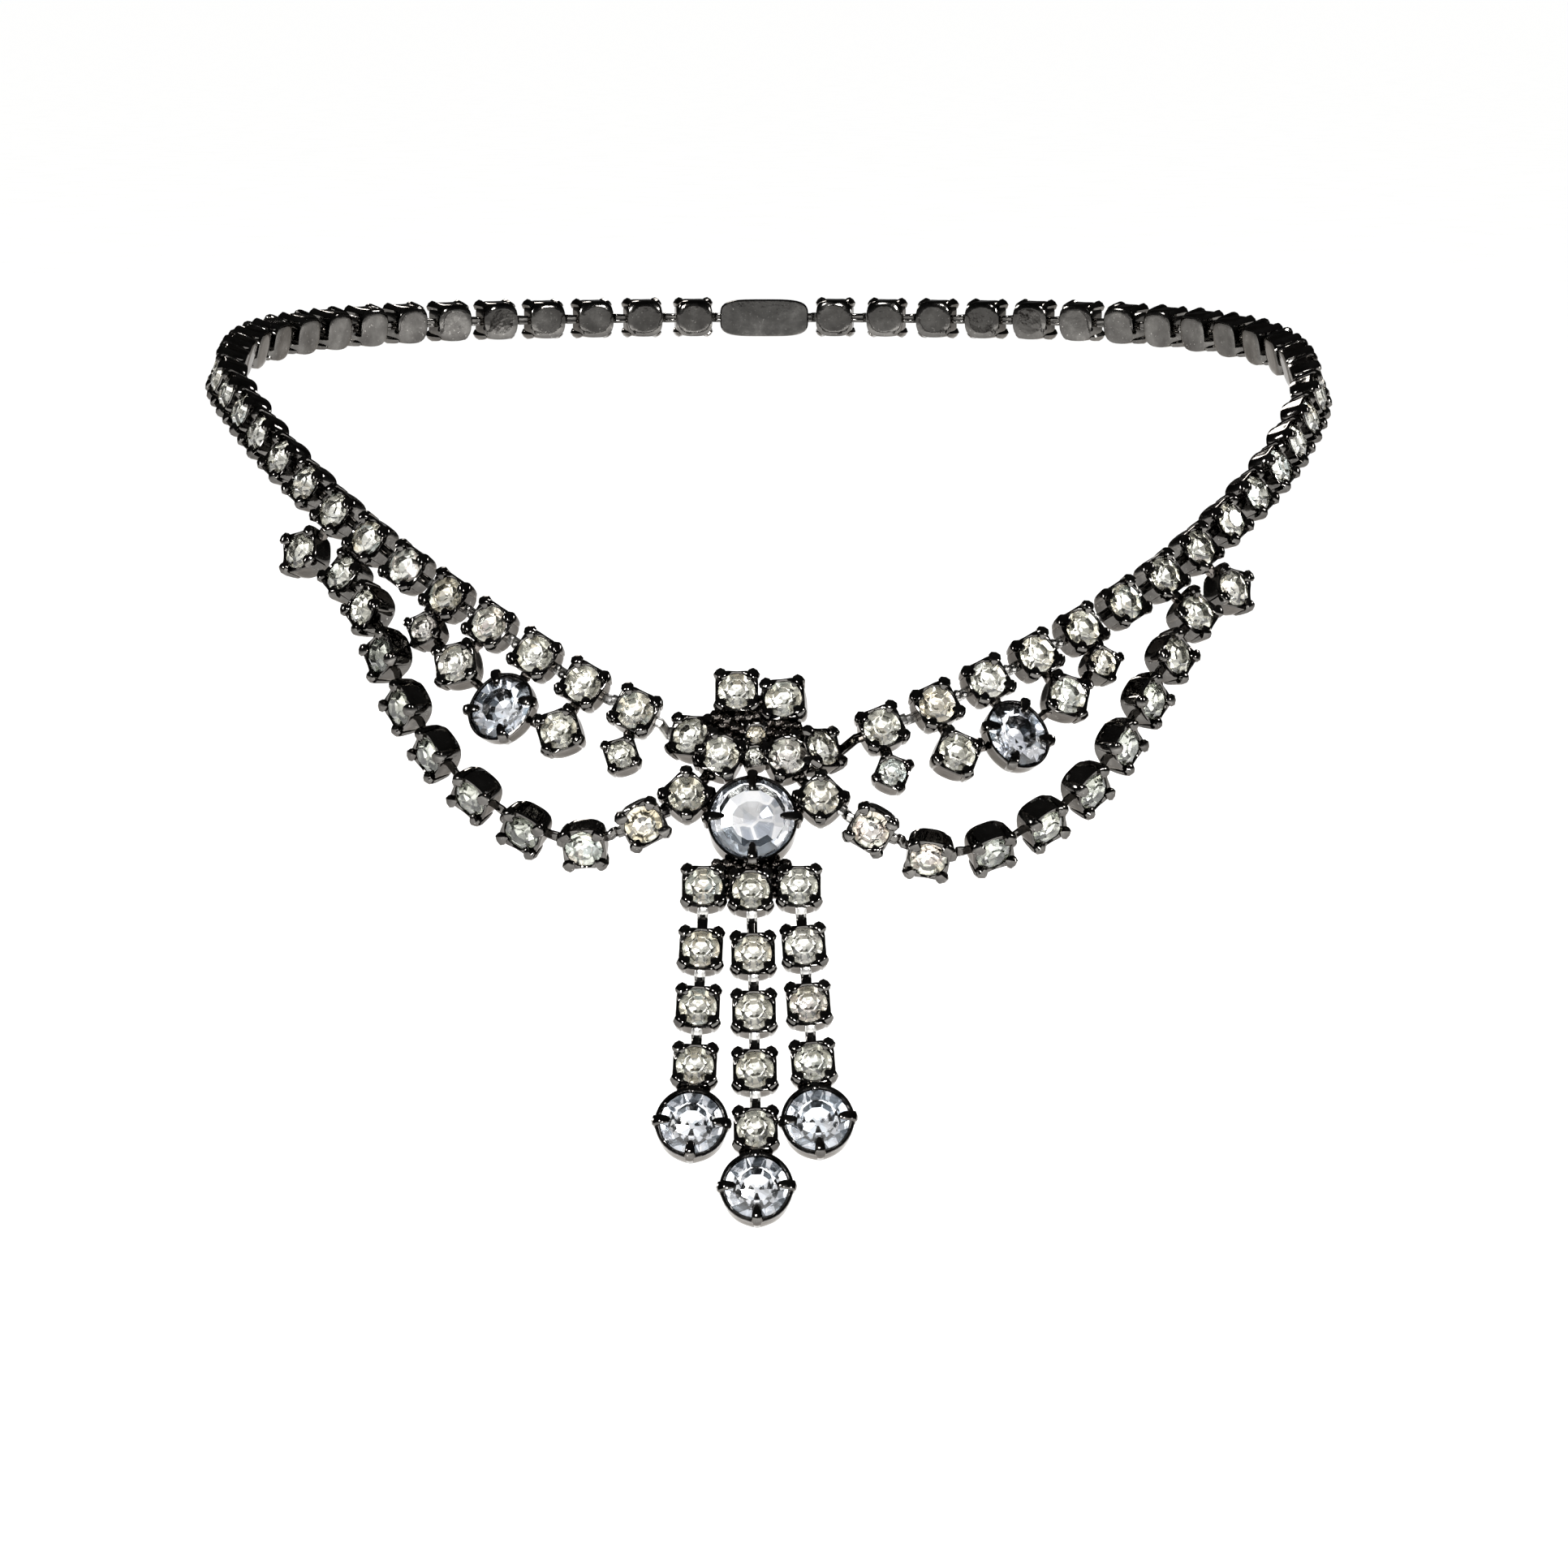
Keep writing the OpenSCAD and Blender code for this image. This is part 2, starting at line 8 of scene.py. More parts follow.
import bpy
import numpy as np
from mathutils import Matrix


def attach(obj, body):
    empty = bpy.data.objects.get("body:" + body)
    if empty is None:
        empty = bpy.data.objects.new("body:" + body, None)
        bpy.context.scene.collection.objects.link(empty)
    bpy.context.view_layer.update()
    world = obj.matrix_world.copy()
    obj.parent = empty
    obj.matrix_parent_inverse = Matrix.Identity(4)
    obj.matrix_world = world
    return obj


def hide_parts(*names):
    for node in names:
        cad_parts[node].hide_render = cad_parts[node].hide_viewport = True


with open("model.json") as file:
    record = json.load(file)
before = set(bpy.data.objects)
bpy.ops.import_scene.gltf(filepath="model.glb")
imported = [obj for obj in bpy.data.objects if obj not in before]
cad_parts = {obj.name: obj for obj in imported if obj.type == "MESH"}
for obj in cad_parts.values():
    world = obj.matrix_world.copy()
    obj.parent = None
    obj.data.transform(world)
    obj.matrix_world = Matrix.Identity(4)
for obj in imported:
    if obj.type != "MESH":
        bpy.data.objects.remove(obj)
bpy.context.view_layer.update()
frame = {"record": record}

# Neck loop, chain and stones, with the part's own values
loop_half_w, loop_depth, front_drop, right_sag, bib_lean = 61.5, 118, 42, 4.5, 28
pitch, cup_w, cup_h = 6.35, 4.5, 2.9
centre_d, drop_d, oval_w, oval_l, small_d, tiny_d = 8.9, 6.5, 5.9, 7.2, 2.9, 1.9
clasp_l, clasp_w = 11, 4.6
fit, sole, floor_t, strip_up = 0.1, 0.8, 0.3, 0.2
rim = cup_h - sole
big_h, drop_h, oval_h, small_w, tiny_w = 4, 3.5, 3.2, 3.5, 2.4
head_in, head_out = 1.22, 1.56
# Width of a chain stone where it shows
shown_d = 3.92
# How far from a cup's middle its solder meets it, for an oval cup along and across
cup_hold, small_hold, tiny_hold, oval_hold, oval_side_hold = 2.02, 1.6, 1.08, 3.78, 3.14
centre_hold = centre_d / 2 + 0.14
# Points of a route for each row of its table
STEPS = 10

# Finishes of a face by their numbers, on the metal and on the stones
# The second finish on the metal is a paler metal on chosen stretches and beads: a painted
# highlight.
METAL, PAINTED_HIGHLIGHT, MELTED = 0, 1, 2
GLASS, FOIL, OTHER_FOIL, ROSETTE_FOIL = 0, 1, 2, 3
# Turn from one stone of a row to the next, and the angle above which a metal edge stays sharp
stone_turn, crease = 137.5, 38

# Share of the half width, share of the depth, share of the rise, share of the sag, sway, lean
NECK = [
    [0.11, 0.036, 0.088, 0.26, 0.0, 28], [0.29, 0.064, 0.208, 0.45, 0.1, 28],
    [0.49, 0.118, 0.375, 0.75, 0.3, 28], [0.68, 0.196, 0.542, 0.90, 0.5, 27],
    [0.83, 0.292, 0.697, 0.90, 0.7, 26], [0.94, 0.405, 0.830, 0.75, 0.8, 24],
    [1.00, 0.540, 0.925, 0.35, 0.7, 20], [0.94, 0.720, 0.985, 0.10, 0.4, 12],
    [0.70, 0.890, 1.000, 0.00, 0.1, 5], [0.33, 0.980, 1.000, 0.00, 0.0, 0],
    [0.00, 1.000, 1.000, 0.00, 0.0, 0], [-0.33, 0.980, 1.000, 0.00, 0.0, 0]]
NAPE_ROW = 10
# Length of each side's route from the front to its first cup
FIRST_CUP = [7.2, 6.5]

# Across, behind the front, above the front, turn of the face, upward lean of the face
SWAGS = [
    [[6.6, 1.0, -1.2, 4, 12], [19.0, 1.4, -6.3, 6, -20], [30.4, 4.8, -0.8, 26, -30],
     [37.3, 11.0, 7.2, 42, -12], [41.0, 17.4, 15.3, 32, 0], [44.5, 23.6, 19.0, 14, 8]],
    [[6.4, 2.0, -1.6, 4, 12], [17.2, 0.8, -7.1, 6, -24], [26.2, 2.6, -5.7, 26, -32],
     [34.8, 7.6, -0.5, 40, -18], [41.2, 14.6, 7.8, 38, -4], [46.4, 22.2, 15.0, 16, 8]]]
SWAG_CUPS = 9

# Number of the neck cup, width of the drop's cup (0 for the oval), along, below, turn
DROPS = [[1, small_w, -1.0, 4.9, 45], [2, cup_w, -0.6, 5.6, 40], [3, 0, -0.4, 6.7, 4],
         [4, cup_w, 0.6, 5.5, 45], [5, small_w, -0.1, 4.3, 32], [8, cup_w, 0.9, 5.9, 45]]
DROP_NAMES = ["inner_small", "inner_medium", "oval", "outer_medium", "outer_small", "far_medium"]
# Neck cups of the side panel, and the ones that carry the swag's end and the far drop
PANEL = [2, 3, 4, 5]
HANGER_CUP, FAR_CUP = 7, 8

# Name, across, up, raised, rolled, swung to the right, width
CLUSTER = [
    ["top_left", -1.7, 14.6, 0.0, 0, 0, cup_w], ["top_right", 3.2, 13.7, 0.0, 3, -8, cup_w],
    ["outer_left", -6.7, 9.8, -0.6, -12, -20, cup_w], ["inner_left", -3.4, 7.2, 0.6, -27, 0, cup_w],
    ["upper_tiny", 0.35, 9.7, 0.0, 0, 0, tiny_w], ["lower_tiny", 0.2, 7.2, 0.1, 10, 0, tiny_w],
    ["inner_right", 3.7, 7.1, 0.4, 27, 4, cup_w], ["outer_right", 7.6, 8.4, -0.6, 15, 36, cup_w],
    ["flank_left", -6.95, 2.95, 0.0, 46, 0, cup_w], ["flank_right", 7.2, 2.6, 0.0, 44, 0, cup_w],
    ["row_left", -5.1, -7.3, 0.0, 0, 0, cup_w], ["row_mid", -0.15, -7.8, 0.2, 0, 0, cup_w],
    ["row_right", 4.9, -7.3, 0.0, 0, 0, cup_w]]
# Rows of that table by their numbers, and the pairs that solder joins
OUTER, FLANK, ROW = [2, 7], [8, 9], [10, 11, 12]
JOINS = [[0, 1], [0, 3], [0, 4], [1, 6], [2, 3], [3, 5], [4, 5], [5, 6], [6, 7], [3, 8], [6, 9],
         [10, 11], [11, 12]]
CENTRE_JOINS = FLANK + ROW
bib_across, bib_below = -0.85, 3.8

# Across, up, drift to the right in degrees, square cups
STRANDS = [[-5.35, -14.2, -2.6, 3], [0.1, -14.7, 0.9, 4], [5.4, -13.9, 4.2, 3]]
SIDES = ["left", "right"]
STRAND_NAMES = ["left", "centre", "right"]


# Frames: an origin with its along, across and face directions, as four rows
def unit(v):
    """A direction of length one."""
    v = np.asarray(v, float)
    return v / np.linalg.norm(v, axis=-1, keepdims=True)


def axes(p, t, n):
    """The frame at p whose first direction is t and whose face leans as near to n as it can."""
    x = unit(t)
    n = np.asarray(n, float)
    z = unit(n - (n @ x) * x)
    return np.array([p, x, np.cross(z, x), z])


def on(f, a, b, c=0.0):
    """The point a along, b across and c out of the face of frame f."""
    return f[0] + a * f[1] + b * f[2] + c * f[3]


def moved(f, a, b, c=0.0):
    """Frame f carried to on(f, a, b, c)."""
    return np.array([on(f, a, b, c), f[1], f[2], f[3]])


def spun(f, degrees):
    """Frame f turned about its face direction."""
    c, s = cos(radians(degrees)), sin(radians(degrees))
    return np.array([f[0], c * f[1] + s * f[2], c * f[2] - s * f[1], f[3]])


def swung(f, degrees):
    """Frame f turned about its second direction."""
    c, s = cos(radians(degrees)), sin(radians(degrees))
    return np.array([f[0], c * f[1] - s * f[3], f[2], c * f[3] + s * f[1]])


def toward(f, g):
    """Frame f turned in its own plane so that its first direction points at frame g."""
    d = g[0] - f[0]
    x = unit(d - (d @ f[3]) * f[3])
    return np.array([f[0], x, np.cross(f[3], x), f[3]])


def chord(f, g):
    """The frame at f that runs to g, with the mean face direction of the two."""
    return axes(f[0], g[0] - f[0], f[3] + g[3])


def route(rows):
    """A Catmull-Rom curve through the rows, ten steps a row, with its length so far in front."""
    r = np.asarray(rows, float)
    n = len(r) - 1
    u = np.arange(n * STEPS + 1) / STEPS
    i = np.minimum(u.astype(int), n - 1)
    t = (u - i)[:, None]
    b, c = r[i], r[i + 1]
    a = np.where((i > 0)[:, None], r[np.maximum(i - 1, 0)], 2 * b - c)
    d = np.where((i < n - 1)[:, None], r[np.minimum(i + 2, n)], 2 * c - b)
    p = 0.5 * (2 * b + (c - a) * t + (2 * a - 5 * b + 4 * c - d) * t ** 2
               + (3 * b - a - 3 * c + d) * t ** 3)
    run = np.cumsum(np.linalg.norm(np.diff(p[:, :3], axis=0), axis=1))
    return np.column_stack([np.concatenate([[0.0], run]), p])


def at_length(r, s, columns=(1, 2, 3)):
    """Values of a route at length s, read straight between its points."""
    return np.array([np.interp(s, r[:, 0], r[:, k]) for k in columns])


def neck_rows(side):
    """The neck table in millimetres. The sag is taken off the right side alone."""
    return [[side * loop_half_w * q[0] + q[4],
             loop_depth * (q[1] - 1) + (sole * (q[1] - 0.9) * 10 if q[1] > 0.9 else 0),
             front_drop * (q[2] - 1) - (right_sag * q[3] if side > 0 else 0),
             q[5]] for q in NECK]


ROUTES = [route(neck_rows(side)) for side in (-1, 1)]


def neck_frame(k, s):
    """A neck cup's frame: along the route, with the face outwards and leaning up."""
    r = ROUTES[k]
    t = unit(at_length(r, s + 0.6) - at_length(r, s - 0.6))
    lean = radians(at_length(r, s, (4,))[0])
    out = (2 * k - 1) * unit([t[1], -t[0], 0])
    return axes(at_length(r, s), t, cos(lean) * out + np.array([0, 0, sin(lean)]))


def nape_s(k):
    """Length of side k from the front to the nape."""
    return ROUTES[k][NAPE_ROW * STEPS][0]


clasp_reach = clasp_l / 2 + 1 + cup_w / 2
COUNT = [round((nape_s(k) - clasp_reach - FIRST_CUP[k]) / pitch) + 1 for k in (0, 1)]
NECK_CUPS = [[neck_frame(k, FIRST_CUP[k] + i * (nape_s(k) - clasp_reach - FIRST_CUP[k])
                         / (COUNT[k] - 1)) for i in range(COUNT[k])] for k in (0, 1)]
CLASP_ENDS = [neck_frame(k, nape_s(k) - clasp_l / 2 + cup_w / 2 + 0.3) for k in (0, 1)]


def swag_frames(k):
    """Cups of a swag at even steps of its route, each facing as its table says."""
    side = 2 * k - 1
    r = route([[side * q[0], q[1] - loop_depth, q[2] - front_drop, side * q[3], q[4]]
               for q in SWAGS[k]])
    cups = []
    for i in range(1, SWAG_CUPS + 1):
        s = i * r[-1, 0] / SWAG_CUPS - 0.01
        turn, lean = np.radians(at_length(r, s, (4, 5)))
        cups.append(axes(at_length(r, s), at_length(r, s + 0.6) - at_length(r, s - 0.6),
                         [sin(turn) * cos(lean), -cos(turn) * cos(lean), sin(lean)]))
    return cups


SWAG_CUP = [swag_frames(k) for k in (0, 1)]
lean_cos, lean_sin = cos(radians(bib_lean)), sin(radians(bib_lean))
BIB = np.array([[bib_across, -loop_depth, -front_drop - bib_below], [1, 0, 0],
                [0, lean_sin, lean_cos], [0, -lean_cos, lean_sin]])
CENTRE = moved(BIB, 0, 0, 0.6 - big_h + sole)


def cluster_frame(row):
    """A centrepiece cup's frame, from its place in the leaning plane through the rims."""
    f = swung(spun(moved(BIB, row[1], row[2], row[3]), row[4]), row[5])
    return moved(f, 0, 0, 0.4 - rim if row[6] == tiny_w else -rim)


CLUSTER_CUP = [cluster_frame(row) for row in CLUSTER]
drop_step = cup_w / 2 + drop_d / 2 + 0.95


def strand_frame(q, d):
    """The frame at distance d down strand q."""
    a = radians(q[2])
    p = on(BIB, q[0] + d * sin(a), q[1] - d * cos(a), -rim)
    return axes(p, sin(a) * BIB[1] - cos(a) * BIB[2], BIB[3])


STRAND_CUP = [[strand_frame(q, i * pitch) for i in range(q[3])] for q in STRANDS]
DROP_CUP = [strand_frame(q, (q[3] - 1) * pitch + drop_step) for q in STRANDS]


def side_drop(k, j):
    """The frame of side drop j under its neck cup."""
    cup, _, along, below, turn = DROPS[j]
    side = 2 * k - 1
    return spun(moved(NECK_CUPS[k][cup - 1], along, -side * below), side * turn)


def neck_cup(k, i):
    """Neck cup i, counted from the front. Cup 0 is the centrepiece's own."""
    return CLUSTER_CUP[OUTER[k]] if i < 1 else NECK_CUPS[k][i - 1]


# Shapes: points, faces of four corners (the fourth is -1 on a triangle), and a finish for each face
def skin(rings, kind=METAL):
    """A closed skin over rings of points, each ring counterclockwise seen from the way it is going.
    Neighbouring rings are joined by four-cornered faces and each end ring closes on its middle."""
    g = np.asarray(rings, float)
    g = g.reshape((-1,) + g.shape[-3:])
    s, m, n = g.shape[:3]
    points = np.concatenate([g.reshape(s, m * n, 3), g[:, [0, -1]].mean(2)], 1)
    i = np.arange(n)
    k = (i + 1) % n
    j = (np.arange(m - 1) * n)[:, None]
    none = np.full(n, -1)
    sides = np.stack([j + i, j + k, j + n + k, j + n + i], -1).reshape(-1, 4)
    low = np.stack([np.full(n, m * n), k, i, none], -1)
    high = np.stack([(m - 1) * n + i, (m - 1) * n + k, np.full(n, m * n + 1), none], -1)
    f = np.concatenate([sides, low, high])
    f = np.where(f < 0, -1, f + (np.arange(s) * (m * n + 2))[:, None, None]).reshape(-1, 4)
    return points.reshape(-1, 3), f, np.full(len(f), kind)


def joined(shapes):
    """Several shapes as one, with their points stacked."""
    start = np.cumsum([0] + [len(p) for p, _, _ in shapes[:-1]])
    return (np.concatenate([p for p, _, _ in shapes]),
            np.concatenate([np.where(f < 0, -1, f + a) for (_, f, _), a in zip(shapes, start)]),
            np.concatenate([kind for _, _, kind in shapes]))


def placed(frames, shape):
    """One copy of a shape in every frame: each point is x along, y across and z out of the face."""
    p, f, kind = shape
    g = np.asarray(frames, float)
    points = g[:, None, 0] + np.einsum("nj,kji->kni", p, g[:, 1:])
    step = (np.arange(len(g)) * len(p))[:, None, None]
    return (points.reshape(-1, 3), np.where(f < 0, -1, f + step).reshape(-1, 4),
            np.tile(kind, len(g)))


def turned(shape, degrees):
    """A shape turned about the face direction."""
    p, f, kind = shape
    c, s = cos(radians(degrees)), sin(radians(degrees))
    return np.stack([c * p[:, 0] - s * p[:, 1], s * p[:, 0] + c * p[:, 1], p[:, 2]], -1), f, kind


def swept(path, across, up, half_w, half_t, count, power):
    """Rings of a bar along a path: each is path + w cos^p(a) across + t sin^p(a) up, with the
    signs kept, so that a power p below 1 gives a rounded oblong."""
    a = np.arange(count) * 2 * np.pi / count
    c, s = [np.sign(v) * np.abs(v) ** power for v in (np.cos(a), np.sin(a))]
    return (path[..., None, :] + (half_w[..., None] * c)[..., None] * across[..., None, :]
            + (half_t[..., None] * s)[..., None] * up[..., None, :])


def claw(stations):
    """A bent claw in the plane of its radius: stations of radius, height, half width and half
    thickness, with rings square to the path."""
    q = np.asarray(stations, float)
    path = np.stack([q[:, 0], 0 * q[:, 0], q[:, 1]], -1)
    t = unit(np.gradient(path, axis=0))
    across = np.tile([0.0, 1.0, 0.0], (len(q), 1))
    return skin(swept(path, across, np.cross(t, across), q[:, 2], q[:, 3], 8, 0.85))


def square_cup(w, h, d):
    """A pressed cup: half width a(v) times (|cos|^n + |sin|^n)^(-1/n), with n from a circle at the
    back to a rounded square at the rim. The sides draw in and dip between the corner claws by
    cos^2 of twice the angle. Inside, a round wall goes down to the floor."""
    q, top = w / cup_w, h - sole
    bore = d / 2 + fit / 2
    # Half width, height, power, draw and dip of each ring
    v = np.array([
        [1.50 * q, -0.90, 2.2, 0.00, 0.00], [2.05 * q, -0.89, 2.5, 0.00, 0.00],
        [2.23 * q, -0.78, 2.9, 0.00, 0.00], [2.28 * q, -0.50, 3.2, 0.01, 0.00],
        [2.30 * q, 0.00, 3.5, 0.03, 0.00], [2.31 * q, 0.50, 3.8, 0.05, 0.00],
        [2.32 * q, 1.05, 4.0, 0.07, 0.00], [2.33 * q, top - 0.50, 4.2, 0.07, 0.06],
        [2.34 * q, top - 0.20, 4.2, 0.05, 0.14], [2.29 * q, top - 0.03, 4.2, 0.05, 0.16],
        [bore + 0.12, top + 0.02, 2.4, 0.00, 0.16], [bore, top - 0.10, 2.0, 0.00, 0.14],
        [bore, 0.60, 2.0, 0.00, 0.00], [bore - 0.05, -0.20, 2.0, 0.00, 0.00],
        [bore * 0.75, floor_t - sole, 2.0, 0.00, 0.00]])
    a = np.radians(np.arange(0, 360, 11.25))
    half, z, n, draw, dip = [v[:, i, None] for i in range(5)]
    side = np.cos(2 * a) ** 2
    r = (half - draw * side) / (np.abs(np.cos(a)) ** n + np.abs(np.sin(a)) ** n) ** (1 / n)
    rings = np.stack([r * np.cos(a), r * np.sin(a), z - dip * side], -1)
    nail = claw([
        [2.54 * q, -0.45, 0.22 * q, 0.12], [2.61 * q, 0.00, 0.42 * q, 0.28 * q],
        [2.66 * q, 0.80, 0.52 * q, 0.38 * q], [2.70 * q, top - 0.55, 0.58 * q, 0.42 * q],
        [2.71 * q, top - 0.18, 0.66 * q, 0.45 * q], [2.66 * q, top + 0.06, 0.70 * q, 0.48 * q],
        [2.50 * q, top + 0.25, 0.70 * q, 0.45 * q], [2.26 * q, top + 0.33, 0.62 * q, 0.36 * q],
        [1.98 * q, top + 0.31, 0.46 * q, 0.26 * q], [1.74 * q, top + 0.24, 0.26 * q, 0.15 * q],
        [1.62 * q, top + 0.17, 0.12 * q, 0.08 * q]])
    return joined([skin(rings)] + [turned(nail, 45 + 90 * i) for i in range(4)])


def round_claw(top, reach=1.0):
    """The claw of a round or oval cup, with its radius counted from the stone's edge. Reach scales
    how far its tongue laps the stone."""
    v = np.array([[0.30, 0.30, 0.18, 0.10], [0.42, 0.90, 0.40, 0.28],
                  [0.50, top - 0.50, 0.48, 0.34], [0.54, top - 0.08, 0.56, 0.40],
                  [0.44, top + 0.30, 0.60, 0.42], [0.18, top + 0.56, 0.56, 0.34],
                  [-0.18, top + 0.66, 0.50, 0.26], [-0.56, top + 0.68, 0.44, 0.21],
                  [-0.90, top + 0.70, 0.33, 0.16], [-1.10, top + 0.68, 0.15, 0.08]])
    v[:, 0] *= np.where(v[:, 0] < 0, reach, 1)
    return claw(v)


def round_cup(w, l, h, claws, count=64, wall=1.0, reach=1.0, short=()):
    """A round or oval cup: the ellipse of half sizes w/2 + g and l/2 + g, where g follows the wall
    out from the back, over a small lip at the rim and down inside to the floor. Outside, g swells
    at each claw by the bell curve of the distance from it. Wall scales g where it lies outside the
    stone, reach the tongues of the claws, and claws named in short lap the stone less."""
    top = h - sole
    # How far out, height and share of the swell of each ring
    v = np.array([
        [-0.50 * w / 2, -0.80, 0], [-0.85, -0.79, 0], [-0.12, -0.68, 0.2], [0.18, -0.42, 0.6],
        [0.34, 0.05, 0.9], [0.42, 0.70, 1], [0.45, top - 0.62, 1], [0.46, top - 0.34, 1],
        [0.53, top - 0.26, 1], [0.54, top - 0.08, 1], [0.47, top, 1], [0.24, top + 0.02, 0],
        [fit, top - 0.12, 0], [fit, 0.50, 0], [-0.15, -0.10, 0], [-0.90, floor_t - sole, 0]])
    a = np.arange(count) * 2 * np.pi / count
    v[v[:, 0] > fit, 0] *= wall
    near = sum(np.exp(-((np.angle(np.exp(1j * (a - b))) * w / 1.1) ** 2))
               for b in np.radians(claws))
    g, z = v[:, :1] + 0.12 * v[:, 2:] * near, v[:, 1:2] + 0 * a
    rings = np.stack([(w / 2 + g) * np.cos(a), (l / 2 + g) * np.sin(a), z], -1)
    nails = [placed([[[w / 2 * cos(b), l / 2 * sin(b), 0], [cos(b), sin(b), 0],
                      [-sin(b), cos(b), 0], [0, 0, 1]]],
                    round_claw(top, 0.2 if b in short else reach))
             for b in np.radians(claws)]
    return joined([skin(rings)] + nails)


def cut_half(w, l, n, tiers, z_side, sign):
    """One half of a cut stone: a flat middle of n sides, rings of n flat facets out to each further
    tier, and n flat facets that run out to the round girdle, which they meet on arcs. Tiers are
    shares of the radius with their heights, and z_side is the height at the middle of an arc."""
    corners = (2 * np.arange(n) + 1) * np.pi / n
    k = np.arange(4 * n)
    arc = k * np.pi / (2 * n)
    share, z = tiers[-1]
    inner = share * cos(np.pi / n)
    reach = np.cos(((k + 2) % 4 - 2) * np.pi / (2 * n))
    shares = np.concatenate([[0], np.repeat([s for s, _ in tiers], n), np.ones(4 * n)])
    angles = np.concatenate([[0], np.tile(corners, len(tiers)), arc])
    heights = np.concatenate([[tiers[0][1]], np.repeat([h for _, h in tiers], n),
                              z + (z_side - z) * (reach - inner) / (1 - inner)])
    points = np.stack([shares * w / 2 * np.cos(angles), shares * l / 2 * np.sin(angles), heights],
                      -1)
    i = np.arange(n)
    j = (i + 1) % n
    last, first = 1 + (len(tiers) - 1) * n, 1 + len(tiers) * n
    a, b = last + (i - 1) % n, last + i
    g = [first + (4 * i + m) % (4 * n) for m in (-2, -1, 0, 1, 2)]
    three = [[0 * i, 1 + i, 1 + j], [a, g[2], b]]
    four = [[1 + m * n + i, 1 + (m + 1) * n + i, 1 + (m + 1) * n + j, 1 + m * n + j]
            for m in range(len(tiers) - 1)] + [[a, g[0], g[1], g[2]], [b, g[2], g[3], g[4]]]
    three = np.concatenate([np.stack(face[::sign], -1) for face in three])
    four = np.concatenate([np.stack(face[::sign], -1) for face in four])
    return points, np.concatenate([np.column_stack([three, np.full(len(three), -1)]), four]), first


def cut_stone(w, l, n, crown, upper, pavilion, lower):
    """A cut stone of n sides: its glass crown and its foiled lower half as tiers, with a girdle
    between the heights upper and lower."""
    up, f_up, g = cut_half(w, l, n, crown, upper, 1)
    down, f_down, h = cut_half(w, l, n, pavilion, lower, -1)
    e = np.arange(4 * n)
    m = (e + 1) % (4 * n)
    h += len(up)
    faces = np.concatenate([f_up, np.stack([g + e, h + e, h + m, g + m], -1),
                            np.where(f_down < 0, -1, f_down + len(up))])
    kinds = np.full(len(faces), GLASS)
    kinds[len(f_up):] = FOIL
    return np.concatenate([up, down]), faces, kinds


def refoiled(stone, d, test, kind):
    """A stone whose foil has another finish on the facets that pass a test of their middle's x and
    y as shares of the radius."""
    points, faces, kinds = stone
    middle = points[faces[:, :3]].mean(1)[:, :2] / (d / 2)
    return points, faces, np.where((kinds == FOIL) & test(*middle.T), kind, kinds)


def chain_stone(d, top):
    """The stone of a square cup: an edged table and eight crown facets over a foiled back, steep
    outside and shallow in the middle, which shows as a ring round a greyer disc."""
    table, low = top + 0.17 * d - 0.2, top - 0.42
    return cut_stone(d, d, 8, [(0.50, table), (0.56, table - 0.04 * d)], top - 0.3,
                     [(0.12, low - 0.36 * d), (0.5, low - 0.28 * d)], low)


def large_stone(w, l, top):
    """The stone of a drop or an oval cup: an edged table, ten crown facets and a back of two
    tiers, whose foil is darker on some facets: painted shade on the drops' lower half, and painted
    dark reflections in patches round the oval."""
    stone = cut_stone(w, l, 10, [(0.55, top + 0.13 * w), (0.6, top + 0.13 * w - 0.14)], top - 0.34,
                      [(0.1, top - 0.46 - 0.33 * w), (0.5, top - 0.46 - 0.25 * w)] if w == l else
                      [(0.06, top - 0.46 - 0.375 * w), (0.3, top - 0.46 - 0.34 * w)], top - 0.46)
    # Darker foil in patches on the oval and on the drops' lower facets: painted dark reflections
    # and painted shade.
    if w < l:
        return refoiled(stone, w, lambda x, y: (np.hypot(x, y) > 0.35)
                        & (np.sin(3.3 * np.arctan2(y, x) + 1) > 0.6), OTHER_FOIL)
    return refoiled(stone, w, lambda x, y: (np.hypot(x, y) > 0.45) & (x > 0.1)
                    & (np.sin(7 * np.arctan2(y, x) + 1) > 0.1), OTHER_FOIL)


def centre_cut(d, top, n=12):
    """The centre stone: a wide table over a back of four tiers. The foil of the three inner tiers
    is the rosette of painted facet reflections, and the foil behind the lower part of the outer
    ring is darker, a painted shade."""
    lower = top - 0.42
    tiers = [(0.04, lower - 0.191 * d), (0.24, lower - 0.1805 * d), (0.5, lower - 0.16 * d),
             (0.76, lower - 0.13 * d)]
    stone = cut_stone(d, d, n, [(0.80, top + 0.085 * d), (0.83, top + 0.085 * d - 0.12)],
                      top - 0.32, tiers, lower)
    # Darker foil behind the lower part of the outer ring: painted shade.
    stone = refoiled(stone, d, lambda x, y: (np.hypot(x, y) > 0.55) & (y < -0.33), OTHER_FOIL)
    return refoiled(stone, d, lambda x, y: np.hypot(x, y) < 0.72, ROSETTE_FOIL)


